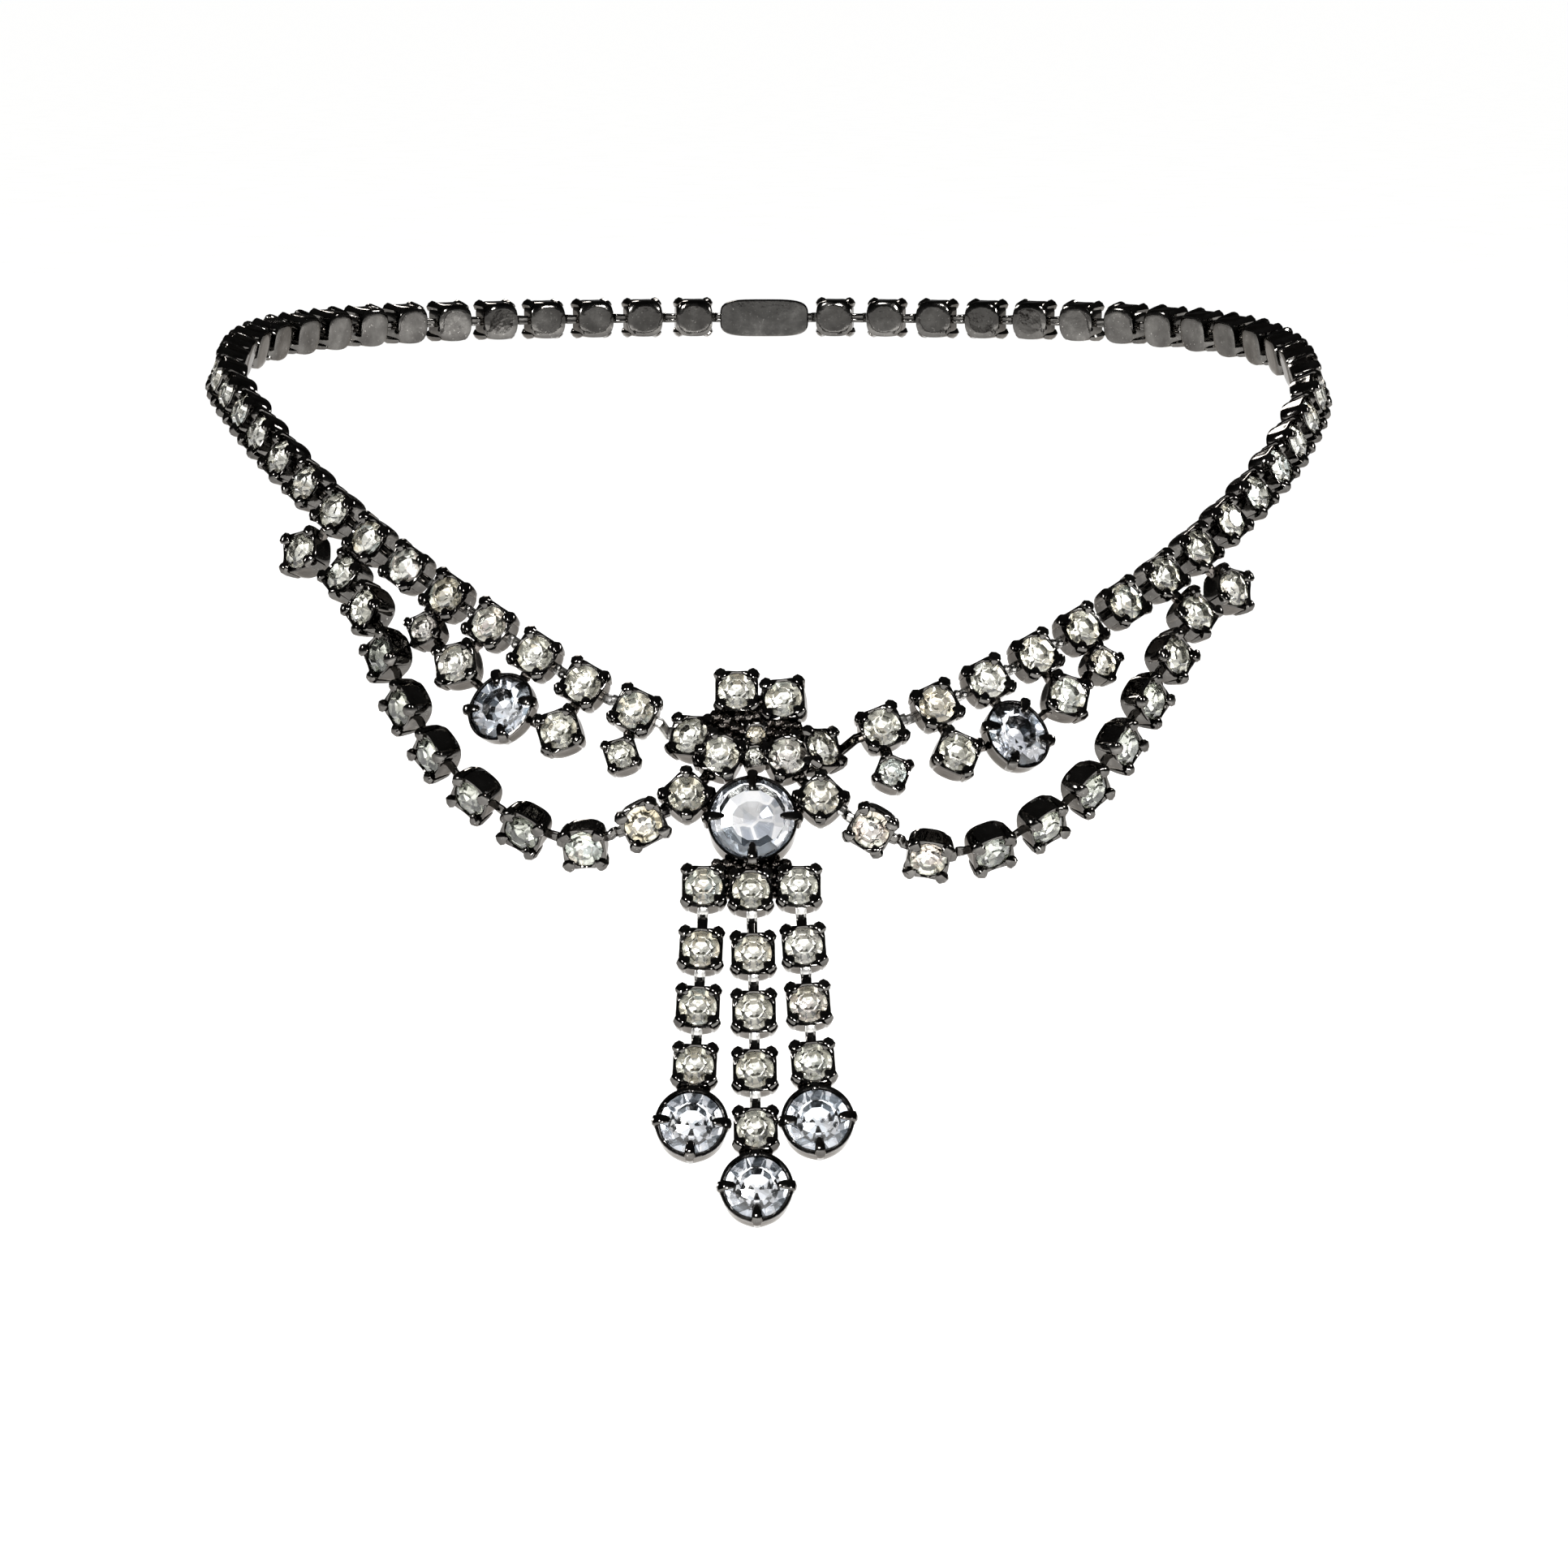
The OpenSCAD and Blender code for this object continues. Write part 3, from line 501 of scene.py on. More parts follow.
def ribbed(path, across, up, half_w, half_t, bright):
    """A flat strip along a path. Its section is an oblong with four fine ribs on its faces: half
    width |cos|^0.6, half thickness |sin|^0.6 times 1 + 0.14 cos(4 pi x), x the share across. The
    stretches of path that bright names get the paler metal, a painted highlight."""
    corners = 40
    a = np.arange(corners) * 2 * np.pi / corners
    c, s = [np.sign(v) * np.abs(v) ** 0.6 for v in (np.cos(a), np.sin(a))]
    s = s * (1 + 0.14 * np.cos(4 * np.pi * c) * np.abs(s))
    points, faces, kinds = skin(path[..., None, :] + (half_w[..., None] * c)[..., None]
                                * across[..., None, :]
                                + (half_t[..., None] * s)[..., None] * up[..., None, :])
    ring = (faces[:, 0] % (path.shape[1] * corners + 2)) // corners
    return points, faces, np.where(np.isin(ring, bright), PAINTED_HIGHLIGHT, METAL)


def strips(pairs, bright=(4, 5, 6, 7), droop=0.0):
    """The strip of each first cup: it leaves the wall level, steps up in front of the second cup's
    wall, goes down inside that wall and enters the cup level, with a wider head inside. Bright
    names the stretches that get the paler metal, a painted highlight, which is the step unless it
    says otherwise, and droop tips the strip's face down."""
    f = np.array([toward(a, b) for a, b in pairs])[:, None]
    g = np.array([toward(b, a) for a, b in pairs])[:, None]
    # Distance from the second cup's middle, height, half width and half thickness
    v = np.array([[3.30, 0.26, 0.56, 0.20], [2.98, 0.34, 0.57, 0.20], [2.88, 0.74, 0.58, 0.18],
                  [2.78, 1.16, 0.60, 0.19], [2.52, 1.30, 0.60, 0.19], [2.26, 1.38, 0.58, 0.18],
                  [2.20, 1.20, 0.55, 0.10], [2.16, 0.70, 0.54, 0.10], [2.10, 0.24, 0.54, 0.14],
                  [head_out + 0.06, strip_up, 0.54, 0.20], [head_out, strip_up, 0.87, 0.21],
                  [head_in, strip_up, 0.87, 0.21]])
    # Distance from the first cup's middle, and height
    own = np.array([1.95, 2.30, 2.75])[None, :, None]
    rise = np.array([0.20, 0.22, 0.24])[None, :, None]
    p = f[:, :, 0] + own * f[:, :, 1] + rise * f[:, :, 3]
    q = g[:, :, 0] + v[None, :, :1] * g[:, :, 1] + v[None, :, 1:2] * g[:, :, 3]
    path = np.concatenate([p, q], 1)
    side = np.concatenate([np.repeat(f[:, :, 2], own.shape[1], 1),
                           np.repeat(-g[:, :, 2], len(v), 1)], 1)
    t = unit(np.gradient(path, axis=1))
    up = unit(np.cross(t, side)) - [0, 0, droop]
    side = unit(np.cross(up, t))
    half_w = np.concatenate([[0.50, 0.54, 0.55], v[:, 2]])
    half_t = np.concatenate([[0.16, 0.19, 0.20], v[:, 3]])
    return ribbed(path, side, np.cross(t, side), half_w, half_t, bright)


def bridges(pairs):
    """Strips between the cups of one soldered piece, from wall to wall, with a low hump."""
    f = np.array([chord(a, b) for a, b in pairs])
    reach = np.array([np.linalg.norm(b[0] - a[0]) for a, b in pairs])[:, None]
    x = 2.1 + (reach - 4.2) * np.array([0, 0.2, 0.4, 0.6, 0.8, 1])
    z = np.array([0.60, 0.72, 0.62, 0.62, 0.72, 0.60])
    path = f[:, None, 0] + x[..., None] * f[:, None, 1] + z[None, :, None] * f[:, None, 3]
    six = np.ones((1, 6, 1))
    # Every stretch of a bridge takes the paler metal, a painted highlight.
    return ribbed(path, six * f[:, None, 2], six * f[:, None, 3], np.full(6, 0.56), np.full(6, 0.2),
                  range(5))


def solder(runs):
    """Runs of solder between two cups, each with its radius, its height and where it starts and
    ends: a waisted bar whose radius swells and shrinks with the sines of its length and angle."""
    f = np.array([chord(a, b) for a, b, *_ in runs])
    n = len(runs)
    reach = np.array([np.linalg.norm(b[0] - a[0]) for a, b, *_ in runs])
    r, up, start, end = np.array([run[2:] for run in runs], float).T
    u = np.linspace(0, 1, 9)
    x = start[:, None] + (reach - end - start)[:, None] * u
    a = np.arange(12) * 2 * np.pi / 12
    phase = np.arange(n)[:, None, None] * 2.4
    lumps = (np.sin(7 * u[None, :, None] + 2 * a + phase) * np.sin(3 * a - 5 * u[None, :, None]
             + 1.7 * phase))
    shape = np.sqrt(np.clip(1 - (2 * u - 1) ** 4, 0.08, 1)) * (0.9 + 0.1 * (2 * u - 1) ** 2)
    size = r[:, None, None] * shape[None, :, None] * (0.9 + 0.13 * lumps)
    return skin(f[:, None, None, 0] + x[..., None, None] * f[:, None, None, 1]
                + (size * np.cos(a))[..., None] * f[:, None, None, 2]
                + (up[:, None, None] + size * np.sin(a))[..., None] * f[:, None, None, 3], MELTED)


def beads(places, sizes, kind=MELTED):
    """Small drops of solder: balls whose radius swells with two sines of their angles."""
    t = np.radians([12, 38, 65, 92, 118, 145, 168])[:, None]
    a = np.radians(np.arange(0, 360, 40.0))
    r = 1 + 0.1 * np.sin(3 * a + 2 * t) * np.sin(2 * t)
    ball = skin(np.stack([r * np.sin(t) * np.cos(a), r * np.sin(t) * np.sin(a),
                          -r * np.cos(t) + 0 * a], -1), kind)
    frames = [np.array([p, size * BIB[1], size * BIB[2], size * BIB[3]])
              for p, size in zip(places, sizes)]
    return placed(frames, ball)


def clasp_bar():
    """A plain rounded bar: rings of the oblong |x/a|^4 + |y/b|^4 = 1, drawn in at both faces and
    domed on the outer one."""
    a = np.arange(64) * 2 * np.pi / 64
    v = np.array([[0.80, 0.02], [0.93, 0.03], [0.985, 0.25], [1.0, 0.7], [0.995, 1.3], [0.96, 1.8],
                  [0.87, 2.15], [0.68, 2.33], [0.40, 2.39]])
    n = 4.0
    s = (np.abs(np.cos(a)) ** n + np.abs(np.sin(a)) ** n) ** (-1 / n)
    inset = (1 - v[:, :1]) * 2.4
    rings = np.stack([(clasp_l / 2 - inset) * s * np.cos(a), (clasp_w / 2 - inset) * s * np.sin(a),
                      v[:, 1:] + 0 * a], -1)
    return placed([[[0, 0, 0], [1, 0, 0], [0, 0, -1], [0, 1, 0]]], skin(rings))


# Finishes. Their patterns read Object coordinates, which are metres
def new_finish(name):
    """A material with its Principled shader and a function that adds a linked node."""
    mat = bpy.data.materials.new(name)
    mat.use_nodes = True
    tree = mat.node_tree
    shader = tree.nodes["Principled BSDF"]
    place = tree.nodes.new("ShaderNodeTexCoord").outputs["Object"]

    def add(kind, values=(), **links):
        node = tree.nodes.new(kind)
        for key, value in dict(values).items():
            node.inputs[key].default_value = value
        for key, source in links.items():
            tree.links.new(source, node.inputs[key])
        return node

    return mat, tree, shader, place, add


def stops(node, colours):
    """Sets a ramp's stops from (place, colour) pairs."""
    ramp = node.color_ramp
    while len(ramp.elements) < len(colours):
        ramp.elements.new(0.5)
    for element, (place, colour) in zip(ramp.elements, colours):
        element.position = place
        element.color = (*colour, 1)
    return node


def plating(name, dark, light, rough):
    """Dark polished plating: cloudy depth of tone, fine wear that shows paler, soft dents."""
    mat, tree, shader, place, add = new_finish(name)
    cloud = add("ShaderNodeTexNoise", {"Scale": 420, "Detail": 4, "Roughness": 0.6}, Vector=place)
    grain = add("ShaderNodeTexNoise", {"Scale": 3200, "Detail": 3, "Roughness": 0.7}, Vector=place)
    tone = stops(add("ShaderNodeValToRGB", Fac=cloud.outputs["Fac"]),
                 [(0.32, dark), (0.55, tuple((a + b) / 2 for a, b in zip(dark, light))),
                  (0.70, light)])
    worn = stops(add("ShaderNodeValToRGB", Fac=grain.outputs["Fac"]),
                 [(0.64, (0, 0, 0)), (0.78, (1, 1, 1))])
    mix = add("ShaderNodeMix")
    mix.data_type = "RGBA"
    tree.links.new(worn.outputs["Color"], mix.inputs[0])
    tree.links.new(tone.outputs["Color"], mix.inputs[6])
    mix.inputs[7].default_value = (0.50, 0.48, 0.45, 1)
    tree.links.new(mix.outputs[2], shader.inputs["Base Color"])
    gloss = add("ShaderNodeMapRange", {"From Min": 0.3, "From Max": 0.7, "To Min": rough * 0.6,
                                       "To Max": rough * 1.5}, Value=cloud.outputs["Fac"])
    tree.links.new(gloss.outputs[0], shader.inputs["Roughness"])
    dents = add("ShaderNodeTexNoise", {"Scale": 900, "Detail": 2, "Roughness": 0.5}, Vector=place)
    bump = add("ShaderNodeBump", {"Strength": 0.22, "Distance": 0.00012},
               Height=dents.outputs["Fac"])
    tree.links.new(bump.outputs["Normal"], shader.inputs["Normal"])
    shader.inputs["Metallic"].default_value = 1
    shader.inputs["Specular Tint"].default_value = (0.6, 0.58, 0.56, 1)
    return mat


def cut_glass(name, colour, rough):
    """Clear glass of the crown, with a faint film of handling on its polish."""
    mat, tree, shader, place, add = new_finish(name)
    film = add("ShaderNodeTexNoise", {"Scale": 700, "Detail": 3}, Vector=place)
    gloss = add("ShaderNodeMapRange", {"From Min": 0.35, "From Max": 0.75, "To Min": rough * 0.3,
                                       "To Max": rough}, Value=film.outputs["Fac"])
    tree.links.new(gloss.outputs[0], shader.inputs["Roughness"])
    tint = stops(add("ShaderNodeValToRGB", Fac=film.outputs["Fac"]),
                 [(0.3, colour), (0.7, tuple(min(1, c * 1.04) for c in colour))])
    tree.links.new(tint.outputs["Color"], shader.inputs["Base Color"])
    shader.inputs["Transmission Weight"].default_value = 1
    shader.inputs["IOR"].default_value = 1.56
    return mat


def foil(name, tones, rough):
    """The silvered back of a stone: each small patch takes its own tone, from bright silver to
    faint colours, and the patches differ from stone to stone."""
    mat, tree, shader, place, add = new_finish(name)
    patch = add("ShaderNodeTexVoronoi", {"Scale": 480, "Randomness": 1}, Vector=place)
    pick = add("ShaderNodeSeparateColor", Color=patch.outputs["Color"])
    ramp = stops(add("ShaderNodeValToRGB", Fac=pick.outputs[0]), tones)
    ramp.color_ramp.interpolation = "EASE"
    tree.links.new(ramp.outputs["Color"], shader.inputs["Base Color"])
    ripple = add("ShaderNodeTexNoise", {"Scale": 1500, "Detail": 2}, Vector=place)
    bump = add("ShaderNodeBump", {"Strength": 0.12, "Distance": 0.0001},
               Height=ripple.outputs["Fac"])
    tree.links.new(bump.outputs["Normal"], shader.inputs["Normal"])
    shader.inputs["Metallic"].default_value = 1
    shader.inputs["Roughness"].default_value = rough
    return mat


def rosette(name):
    """The foil of the centre stone's rosette: cells that each take their own tone, painted
    reflections of facets, between bright seams drawn from the distance to the nearest seam, painted
    highlights on the facet edges."""
    mat, tree, shader, place, add = new_finish(name)
    cell = add("ShaderNodeTexVoronoi", {"Scale": 560, "Randomness": 0.75}, Vector=place)
    pick = add("ShaderNodeSeparateColor", Color=cell.outputs["Color"])
    tone = stops(add("ShaderNodeValToRGB", Fac=pick.outputs[0]),
                 [(0.15, (0.44, 0.47, 0.52)), (0.35, (0.80, 0.82, 0.86)), (0.8, (1.0, 1.0, 1.0))])
    edge = add("ShaderNodeTexVoronoi", {"Scale": 560, "Randomness": 0.75}, Vector=place)
    edge.feature = "DISTANCE_TO_EDGE"
    # White lines along the cell edges: painted highlights.
    seam = stops(add("ShaderNodeValToRGB", Fac=edge.outputs["Distance"]),
                 [(0.06, (1.0, 1.0, 1.0)), (0.10, (0.25, 0.25, 0.25)), (0.25, (0.0, 0.0, 0.0))])
    mix = add("ShaderNodeMix")
    mix.data_type = "RGBA"
    tree.links.new(seam.outputs["Color"], mix.inputs[0])
    tree.links.new(tone.outputs["Color"], mix.inputs[6])
    mix.inputs[7].default_value = (1, 1, 1, 1)
    tree.links.new(mix.outputs[2], shader.inputs["Base Color"])
    shader.inputs["Metallic"].default_value = 1
    shader.inputs["Roughness"].default_value = 0.1
    return mat


SILVER = [(0.0, (0.55, 0.54, 0.49)), (0.25, (0.69, 0.685, 0.645)), (0.60, (0.83, 0.825, 0.79)),
          (0.82, (0.66, 0.62, 0.54)), (0.93, (0.63, 0.68, 0.68)), (1.0, (0.74, 0.67, 0.64))]
# Darker foil for the middle stones of each swag, which lean away: painted shade.
SHADED_SILVER = [(0.0, (0.22, 0.23, 0.21)), (0.40, (0.42, 0.43, 0.40)), (0.75, (0.62, 0.62, 0.57)),
         (1.0, (0.39, 0.41, 0.39))]
ICE = [(0.0, (0.58, 0.60, 0.64)), (0.30, (0.86, 0.88, 0.91)), (0.75, (0.97, 0.97, 0.98)),
       (0.9, (0.80, 0.85, 0.90)), (1.0, (0.95, 0.94, 0.91))]
# Dark foil tones for the facets given painted shade and painted dark reflections.
SHADE_TONES = [(0.0, (0.05, 0.06, 0.07)), (0.5, (0.17, 0.19, 0.21)), (1.0, (0.45, 0.48, 0.50))]
# Paler metal on chosen stretches of the strips and on the panel beads: a painted highlight.
HIGHLIGHT_METAL = plating("painted_highlight_strip", (0.30, 0.295, 0.285), (0.54, 0.53, 0.51), 0.28)
SOLDER = plating("dark_solder", (0.055, 0.050, 0.046), (0.16, 0.143, 0.13), 0.15)
FINISHES = {
    "plated_metal": [plating("dark_plating", (0.055, 0.052, 0.049), (0.12, 0.115, 0.108), 0.085),
                     HIGHLIGHT_METAL, SOLDER],
    "clasp_metal": [plating("clasp_plating", (0.06, 0.058, 0.055), (0.12, 0.116, 0.11), 0.10),
                    HIGHLIGHT_METAL],
    "chain_glass": [cut_glass("chain_crystal", (0.97, 0.97, 0.93), 0.06),
                    foil("chain_foil", SILVER, 0.12)],
    "swag_glass": [cut_glass("swag_crystal", (0.93, 0.93, 0.88), 0.06),
                   foil("swag_shaded_silver_foil", SHADED_SILVER, 0.14), foil("swag_end_foil", SILVER, 0.12)],
    "large_glass": [cut_glass("large_crystal", (0.98, 0.985, 1.0), 0.03),
                    foil("large_foil", ICE, 0.07), foil("shade_foil", SHADE_TONES, 0.12),
                    rosette("rosette_painted_reflections")]}
SLOT_OF = {part["node"]: part["material_slot"] for part in frame["record"]["subparts"]}


def piece(node, shape, crease=None):
    """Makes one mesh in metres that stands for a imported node. With a crease angle it is shaded
    smooth between edges sharper than that, and without one every face is flat."""
    points, faces, kinds = shape
    four = faces[:, 3] >= 0
    mesh = bpy.data.meshes.new(node + "_dressed")
    mesh.from_pydata((points / 1000).tolist(), [],
                     faces[four].tolist() + faces[~four, :3].tolist())
    for finish in FINISHES[SLOT_OF[node]]:
        mesh.materials.append(finish)
    order = np.concatenate([kinds[four], kinds[~four]]).astype(np.int32)
    mesh.polygons.foreach_set("material_index", order)
    mesh.polygons.foreach_set("use_smooth", np.full(len(order), crease is not None))
    if crease is not None:
        mesh.set_sharp_from_angle(angle=radians(crease))
    mesh.update()
    thing = bpy.data.objects.new(node + "_dressed", mesh)
    bpy.context.scene.collection.objects.link(thing)
    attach(thing, "root")
    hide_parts(node)


def set_in(cups, stone):
    """A stone in each round bore, each turned by its own angle."""
    return placed([spun(f, stone_turn * i) for i, f in enumerate(cups)], stone)


def hung(f, g, far=cup_hold):
    """The run of solder from a cup to the cup that hangs below it."""
    radius, height = 0.75, 0.7
    return f, g, radius, height, cup_hold, far


CUP = {w: square_cup(w, h, d) for w, h, d in
       ((cup_w, cup_h, shown_d), (small_w, cup_h, small_d), (tiny_w, cup_h - 0.4, tiny_d))}
CUP[0] = round_cup(oval_w, oval_l, oval_h, (38, 142, 218, 322), 48, 0.6)
four_claws = (0, 90, 180, 270)
CENTRE_CUP = round_cup(centre_d, centre_d, big_h, four_claws, 64, 0.6, 1.4)
DROP_ROUND = round_cup(drop_d, drop_d, drop_h, four_claws, 48, 1.0, 1.0, (radians(180),))
STONE = {cup_w: chain_stone(shown_d, rim), small_w: chain_stone(small_d, rim),
         tiny_w: chain_stone(tiny_d, rim - 0.4), 0: large_stone(oval_w, oval_l, oval_h - sole)}
SWAG_END_STONE = refoiled(STONE[cup_w], shown_d, lambda x, y: True, OTHER_FOIL)
HOLD = {cup_w: cup_hold, small_w: small_hold, tiny_w: tiny_hold, 0: oval_hold}
SIDE_HOLD = {1: cup_hold, 2: oval_side_hold, 3: cup_hold, 4: small_hold}
# Stretches of a strip that take the paler metal, a painted highlight, and how far the strips beside
# the centrepiece tip down
shown, side_droop, swag_droop = range(1, 8), 0.22, 0.2

for k, side in enumerate(SIDES):
    drops = [side_drop(k, j) for j in range(len(DROPS))]
    swag = [CLUSTER_CUP[FLANK[k]]] + SWAG_CUP[k]
    free = range(PANEL[-1] + 1, COUNT[k] + 1)
    piece("neck_chain_" + side, joined([
        placed([neck_cup(k, i) for i in free] + [swag[SWAG_CUPS], drops[5]], CUP[cup_w]),
        strips([(neck_cup(k, i), neck_cup(k, i - 1)) for i in free]
               + [(swag[SWAG_CUPS], swag[SWAG_CUPS - 1])]),
        solder([hung(neck_cup(k, HANGER_CUP), swag[SWAG_CUPS]),
                hung(neck_cup(k, FAR_CUP), drops[5])])]), crease)
    piece("inner_link_" + side, joined([
        placed([neck_cup(k, 1)], CUP[cup_w]), placed([drops[0]], CUP[small_w]),
        strips([(neck_cup(k, 1), neck_cup(k, 0))], () if k else shown, side_droop),
        solder([hung(neck_cup(k, 1), drops[0], small_hold)])]), crease)
    cups = [neck_cup(k, i) for i in PANEL]
    gaps = [(chord(a, b), np.linalg.norm(b[0] - a[0]) / 2) for a, b in zip(cups, cups[1:])]
    # Beads of the paler metal in the panel's gaps: painted glints.
    bright_beads = [on(f, half + x, y, 0.9) for f, half in gaps
                    for x, y in ((-0.35, 0.25), (0.4, -0.2))]
    piece("side_panel_" + side, joined([
        placed(cups, CUP[cup_w]), placed([drops[1], drops[3]], CUP[cup_w]),
        placed([drops[2]], CUP[0]), placed([drops[4]], CUP[small_w]),
        bridges(list(zip(cups, cups[1:]))),
        strips([(cups[0], neck_cup(k, 1))], shown, side_droop),
        solder([hung(cups[j], drops[j + 1], HOLD[DROPS[j + 1][1]]) for j in range(4)]
               + [(drops[j], drops[j + 1], 0.6, 0.7, SIDE_HOLD[j], SIDE_HOLD[j + 1])
                  for j in (1, 2, 3)]),
        beads(bright_beads, [0.48, 0.42] * len(gaps), PAINTED_HIGHLIGHT)]), crease)
    piece("swag_" + side, joined([
        placed(swag[1:SWAG_CUPS], CUP[cup_w]),
        strips([(swag[i], swag[i - 1]) for i in range(2, SWAG_CUPS)], ()),
        strips([(swag[1], swag[0])], shown if k else (), swag_droop * k)]), crease)
    piece("neck_stones_" + side, set_in(NECK_CUPS[k], STONE[cup_w]))
    # The middle five stones of each swag take the darker foil, a painted shade; the two at each end
    # keep the silver.
    piece("swag_stones_" + side, joined([
        set_in(SWAG_CUP[k][2:7], STONE[cup_w]),
        set_in(SWAG_CUP[k][:2] + SWAG_CUP[k][7:], SWAG_END_STONE)]))
    for j in range(len(DROPS)):
        piece(DROP_NAMES[j] + "_stone_" + side, placed([drops[j]], STONE[DROPS[j][1]]))

# Solder of the centrepiece: a run at each join, and three small beads between its cups
rng = np.random.default_rng(7)
runs, spots = [], []
for a, b in JOINS:
    f, g = CLUSTER_CUP[a], CLUSTER_CUP[b]
    runs.append((f, g, 0.7, 0.1, HOLD[CLUSTER[a][6]], HOLD[CLUSTER[b][6]]))
    spots += [(f, g)] * 3
for b in CENTRE_JOINS:
    runs.append((CENTRE, CLUSTER_CUP[b], 0.7, 0.2, centre_hold, cup_hold))
# Larger beads where solder has pooled: across, up, radius
pools = [(-3.9, 12.0, 0.8), (-2.8, 11.7, 1.0), (-1.6, 11.9, 0.8), (-0.5, 11.9, 0.9),
         (0.5, 12.1, 0.75), (1.5, 11.3, 0.9), (2.7, 11.3, 0.8), (3.7, 11.0, 0.95),
         (4.6, 10.9, 0.7), (5.3, 10.2, 0.7), (-3.3, 11.0, 0.8), (-2.0, 10.8, 1.0),
         (-1.1, 10.3, 0.8), (0.9, 12.6, 0.7), (0.9, 13.6, 0.5), (2.6, 9.8, 0.8),
         (1.7, 10.2, 0.7), (-1.05, 7.6, 0.5), (1.65, 8.1, 0.5), (-1.6, 9.3, 0.7),
         (2.0, 9.1, 0.6), (-0.9, 8.8, 0.5), (3.4, 9.9, 0.7), (-2.7, 9.9, 0.7),
         (-2.6, -4.7, 0.8), (-1.5, -5.0, 0.65), (-3.7, -4.6, 0.7), (2.4, -4.7, 0.8),
         (1.3, -5.0, 0.65), (3.5, -4.6, 0.7), (-2.6, -5.9, 0.6), (-2.7, -6.9, 0.5),
         (-2.6, -7.9, 0.5), (2.3, -5.9, 0.6), (2.4, -6.9, 0.5), (2.3, -7.9, 0.5),
         (-4.3, 5.3, 0.6), (4.6, 5.2, 0.6), (-4.9, 2.2, 0.6), (5.2, 2.1, 0.6),
         (-0.4, -5.1, 0.55), (0.4, -5.2, 0.5), (0.0, -5.7, 0.5)]
share = rng.uniform(0.42, 0.58, len(spots))
off = rng.uniform(-1, 1, (len(spots), 2))
bead_places = [on(chord(f, g), t * np.linalg.norm(g[0] - f[0]), 0.6 * o[0], 0.8 + 0.4 * o[1])
               for (f, g), t, o in zip(spots, share, off)]
bead_places += [on(BIB, across, up, -0.6 - 0.8 * size) for across, up, size in pools]
bead_sizes = np.concatenate([rng.uniform(0.26, 0.42, len(spots)), [size for *_, size in pools]])
open_runs = [r for r in runs if np.linalg.norm(r[1][0] - r[0][0]) > r[4] + r[5] + 0.1]
piece("centre_setting", joined(
    [placed([CLUSTER_CUP[j] for j, row in enumerate(CLUSTER) if row[6] == w], CUP[w])
     for w in (cup_w, tiny_w)]
    + [placed([CENTRE], CENTRE_CUP), solder(open_runs), beads(bead_places, bead_sizes)]), crease)
for j, row in enumerate(CLUSTER):
    piece(row[0] + "_stone", placed([CLUSTER_CUP[j]], STONE[row[6]]))
piece("centre_stone", placed([CENTRE], centre_cut(centre_d, big_h - sole)))

for j, name in enumerate(STRAND_NAMES):
    cups = STRAND_CUP[j]
    above = [CLUSTER_CUP[ROW[j]]] + cups
    piece("pendant_" + name, joined([
        placed(cups, CUP[cup_w]), placed([DROP_CUP[j]], DROP_ROUND),
        strips(list(zip(cups, above))),
        solder([(moved(cups[-1], 0, aside), moved(DROP_CUP[j], 0, aside), 0.7, up, cup_hold, far)
                for aside, up, far in ((0, 0.9, 3.4), (-1.15, 0.8, 3.2), (1.15, 0.8, 3.2))])]),
          crease)
    piece("pendant_stones_" + name, set_in(cups, STONE[cup_w]))
    piece("drop_stone_" + name, placed([DROP_CUP[j]], large_stone(drop_d, drop_d, drop_h - sole)))

piece("clasp", joined([clasp_bar(), strips([(CLASP_ENDS[k], NECK_CUPS[k][-1]) for k in (0, 1)])]),
      crease)

# Floor, light and camera
floor_mesh = bpy.data.meshes.new("floor")
floor_half, floor_z = 90.0, -0.13
floor_mesh.from_pydata([(x * floor_half, y * floor_half, floor_z)
                        for x, y in ((-1, -1), (1, -1), (1, 1), (-1, 1))], [], [(0, 1, 2, 3)])
floor = bpy.data.objects.new("floor", floor_mesh)
bpy.context.scene.collection.objects.link(floor)
floor_mat, floor_tree, floor_shader, floor_place, floor_add = new_finish("pale_floor")
paper = floor_add("ShaderNodeTexNoise", {"Scale": 30, "Detail": 3}, Vector=floor_place)
paper_tone = stops(floor_add("ShaderNodeValToRGB", Fac=paper.outputs["Fac"]),
                   [(0.3, (0.90, 0.90, 0.895)), (0.7, (0.92, 0.92, 0.915))])
floor_tree.links.new(paper_tone.outputs["Color"], floor_shader.inputs["Base Color"])
floor_shader.inputs["Roughness"].default_value = 0.9
floor_shader.inputs["Specular IOR Level"].default_value = 0.0
floor_mesh.materials.append(floor_mat)

scene = bpy.context.scene
world = bpy.data.worlds.new("studio")
scene.world = world
world.use_nodes = True
sky = world.node_tree
for node in list(sky.nodes):
    sky.nodes.remove(node)
out = sky.nodes.new("ShaderNodeOutputWorld")
direction = sky.nodes.new("ShaderNodeTexCoord")
split = sky.nodes.new("ShaderNodeSeparateXYZ")
ray_kind = sky.nodes.new("ShaderNodeLightPath")
sky.links.new(direction.outputs["Generated"], split.inputs[0])
height = sky.nodes.new("ShaderNodeMapRange")
height.inputs["From Min"].default_value = -1
sky.links.new(split.outputs[2], height.inputs["Value"])


def room(colours):
    """Light of the room by the height of its direction, from straight down at 0 to straight up at
    1, or one colour."""
    light = sky.nodes.new("ShaderNodeBackground")
    if len(colours) == 1:
        light.inputs["Color"].default_value = (*colours[0][1], 1)
    else:
        ramp = stops(sky.nodes.new("ShaderNodeValToRGB"), colours)
        sky.links.new(height.outputs[0], ramp.inputs["Fac"])
        sky.links.new(ramp.outputs["Color"], light.inputs["Color"])
    return light.outputs[0]


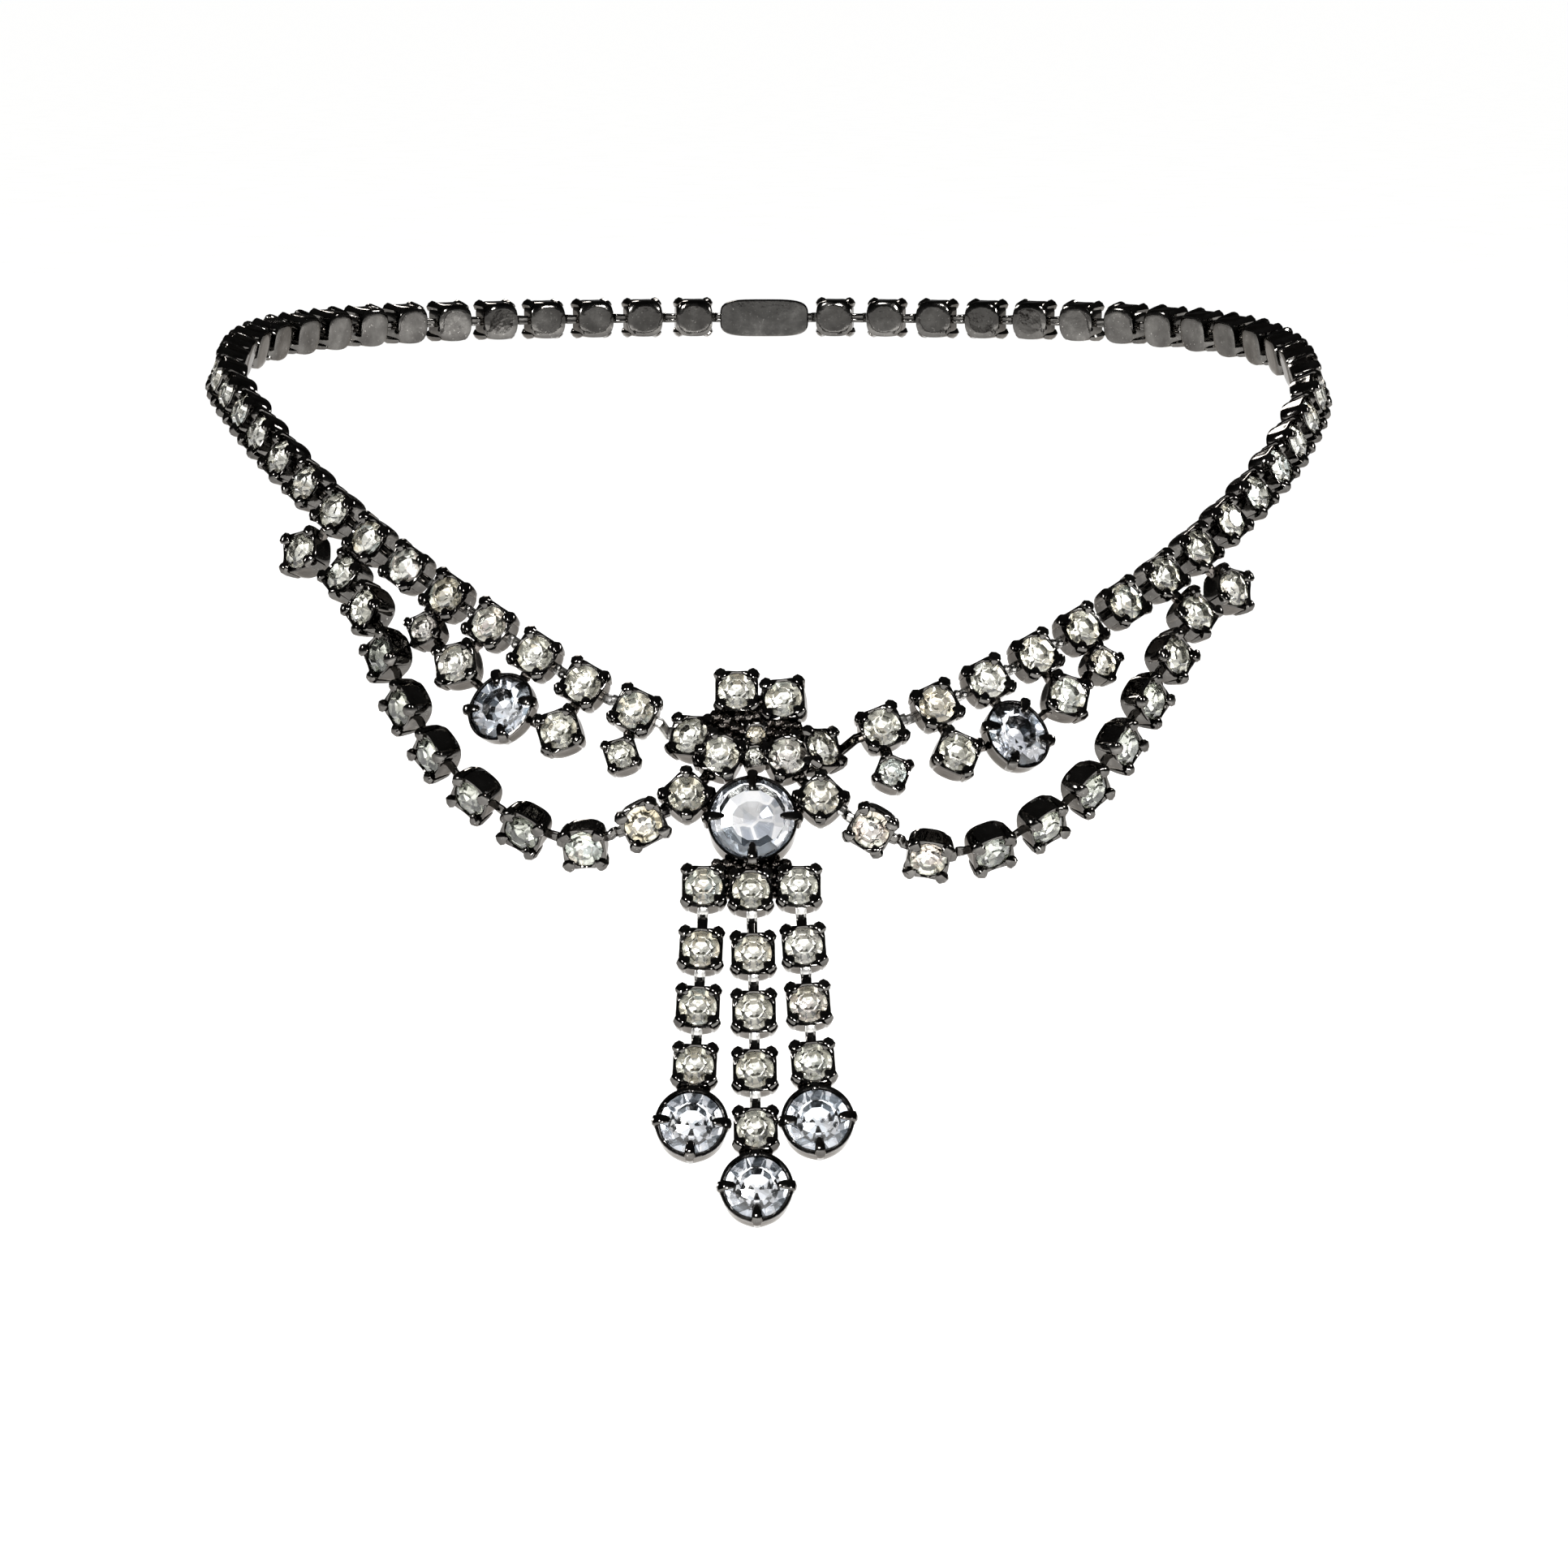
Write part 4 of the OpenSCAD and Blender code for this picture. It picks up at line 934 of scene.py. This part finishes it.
def choice(ray, no, yes):
    """One light or another by the kind of ray."""
    pick = sky.nodes.new("ShaderNodeMixShader")
    for a, b in ((ray_kind.outputs[ray], 0), (no, 1), (yes, 2)):
        sky.links.new(a, pick.inputs[b])
    return pick.outputs[0]


plain, all_round = room([(0.0, (1.0, 1.0, 1.0))]), room([(0.0, (1.12, 1.12, 1.12))])
through_glass = room([(0.0, (0.20, 0.20, 0.20)), (0.45, (0.86, 0.86, 0.86)),
                      (0.58, (0.86, 0.86, 0.86)), (0.68, (0.44, 0.44, 0.44)),
                      (0.78, (0.60, 0.60, 0.605)), (1.0, (1.15, 1.15, 1.16))])
on_metal = room([(0.5, (0.20, 0.20, 0.20)), (0.56, (0.05, 0.05, 0.05)), (0.7, (0.02, 0.02, 0.02)),
                 (1.0, (0.06, 0.06, 0.06))])
inside = choice("Is Transmission Ray", on_metal, through_glass)
sky.links.new(choice("Is Camera Ray", choice("Is Diffuse Ray", inside, all_round), plain),
              out.inputs[0])


def lamp(name, place, target, size, power, seen_in="both"):
    """A soft round light at a place in metres that looks at a target. It shows in the metal, in the
    backs of the stones or in both."""
    data = bpy.data.lights.new(name, "AREA")
    data.energy = power
    data.shape = "DISK"
    data.size = size
    thing = bpy.data.objects.new(name, data)
    d = np.array(target, float) - np.array(place, float)
    z = unit(-d)
    x = unit(np.cross([0, 0, 1], z))
    y = np.cross(z, x)
    thing.matrix_world = [[*x, 0], [*y, 0], [*z, 0], [*place, 1]]
    thing.visible_glossy = seen_in != "stones"
    thing.visible_transmission = seen_in != "metal"
    scene.collection.objects.link(thing)


front = (0.0, -0.11, -0.045)
lamp("flash", (-0.05, -0.72, 0.15), front, 0.09, 2.6, "metal")
lamp("flash_core", (-0.05, -0.72, 0.15), front, 0.06, 1.2, "stones")
lamp("key", (-0.30, -0.72, 0.30), front, 0.10, 1.2, "metal")
lamp("key_core", (-0.30, -0.72, 0.30), front, 0.12, 1.0, "stones")
lamp("fill", (0.50, -0.62, 0.12), front, 0.09, 1.0, "metal")
lamp("fill_core", (0.50, -0.62, 0.12), front, 0.18, 2.0, "stones")
lamp("side_core", (0.62, -0.45, 0.42), front, 0.40, 5.0, "stones")
lamp("left_glint", (-0.75, -0.20, 0.25), front, 0.14, 1.6)
lamp("right_glint", (0.75, 0.05, 0.30), front, 0.14, 1.6)
lamp("back_glint", (-0.15, 0.70, 0.40), front, 0.16, 1.4)

# The view of the photograph
lens = bpy.data.cameras.new("camera")
lens.lens, lens.sensor_width = 131.07, 36
lens.clip_start, lens.clip_end = 0.01, 300
camera = bpy.data.objects.new("camera", lens)
camera.location = (0.00247, -0.71216, 0.04150)
camera.rotation_euler = (radians(82), 0, 0)
scene.collection.objects.link(camera)
scene.camera = camera
scene.view_settings.view_transform = "Standard"
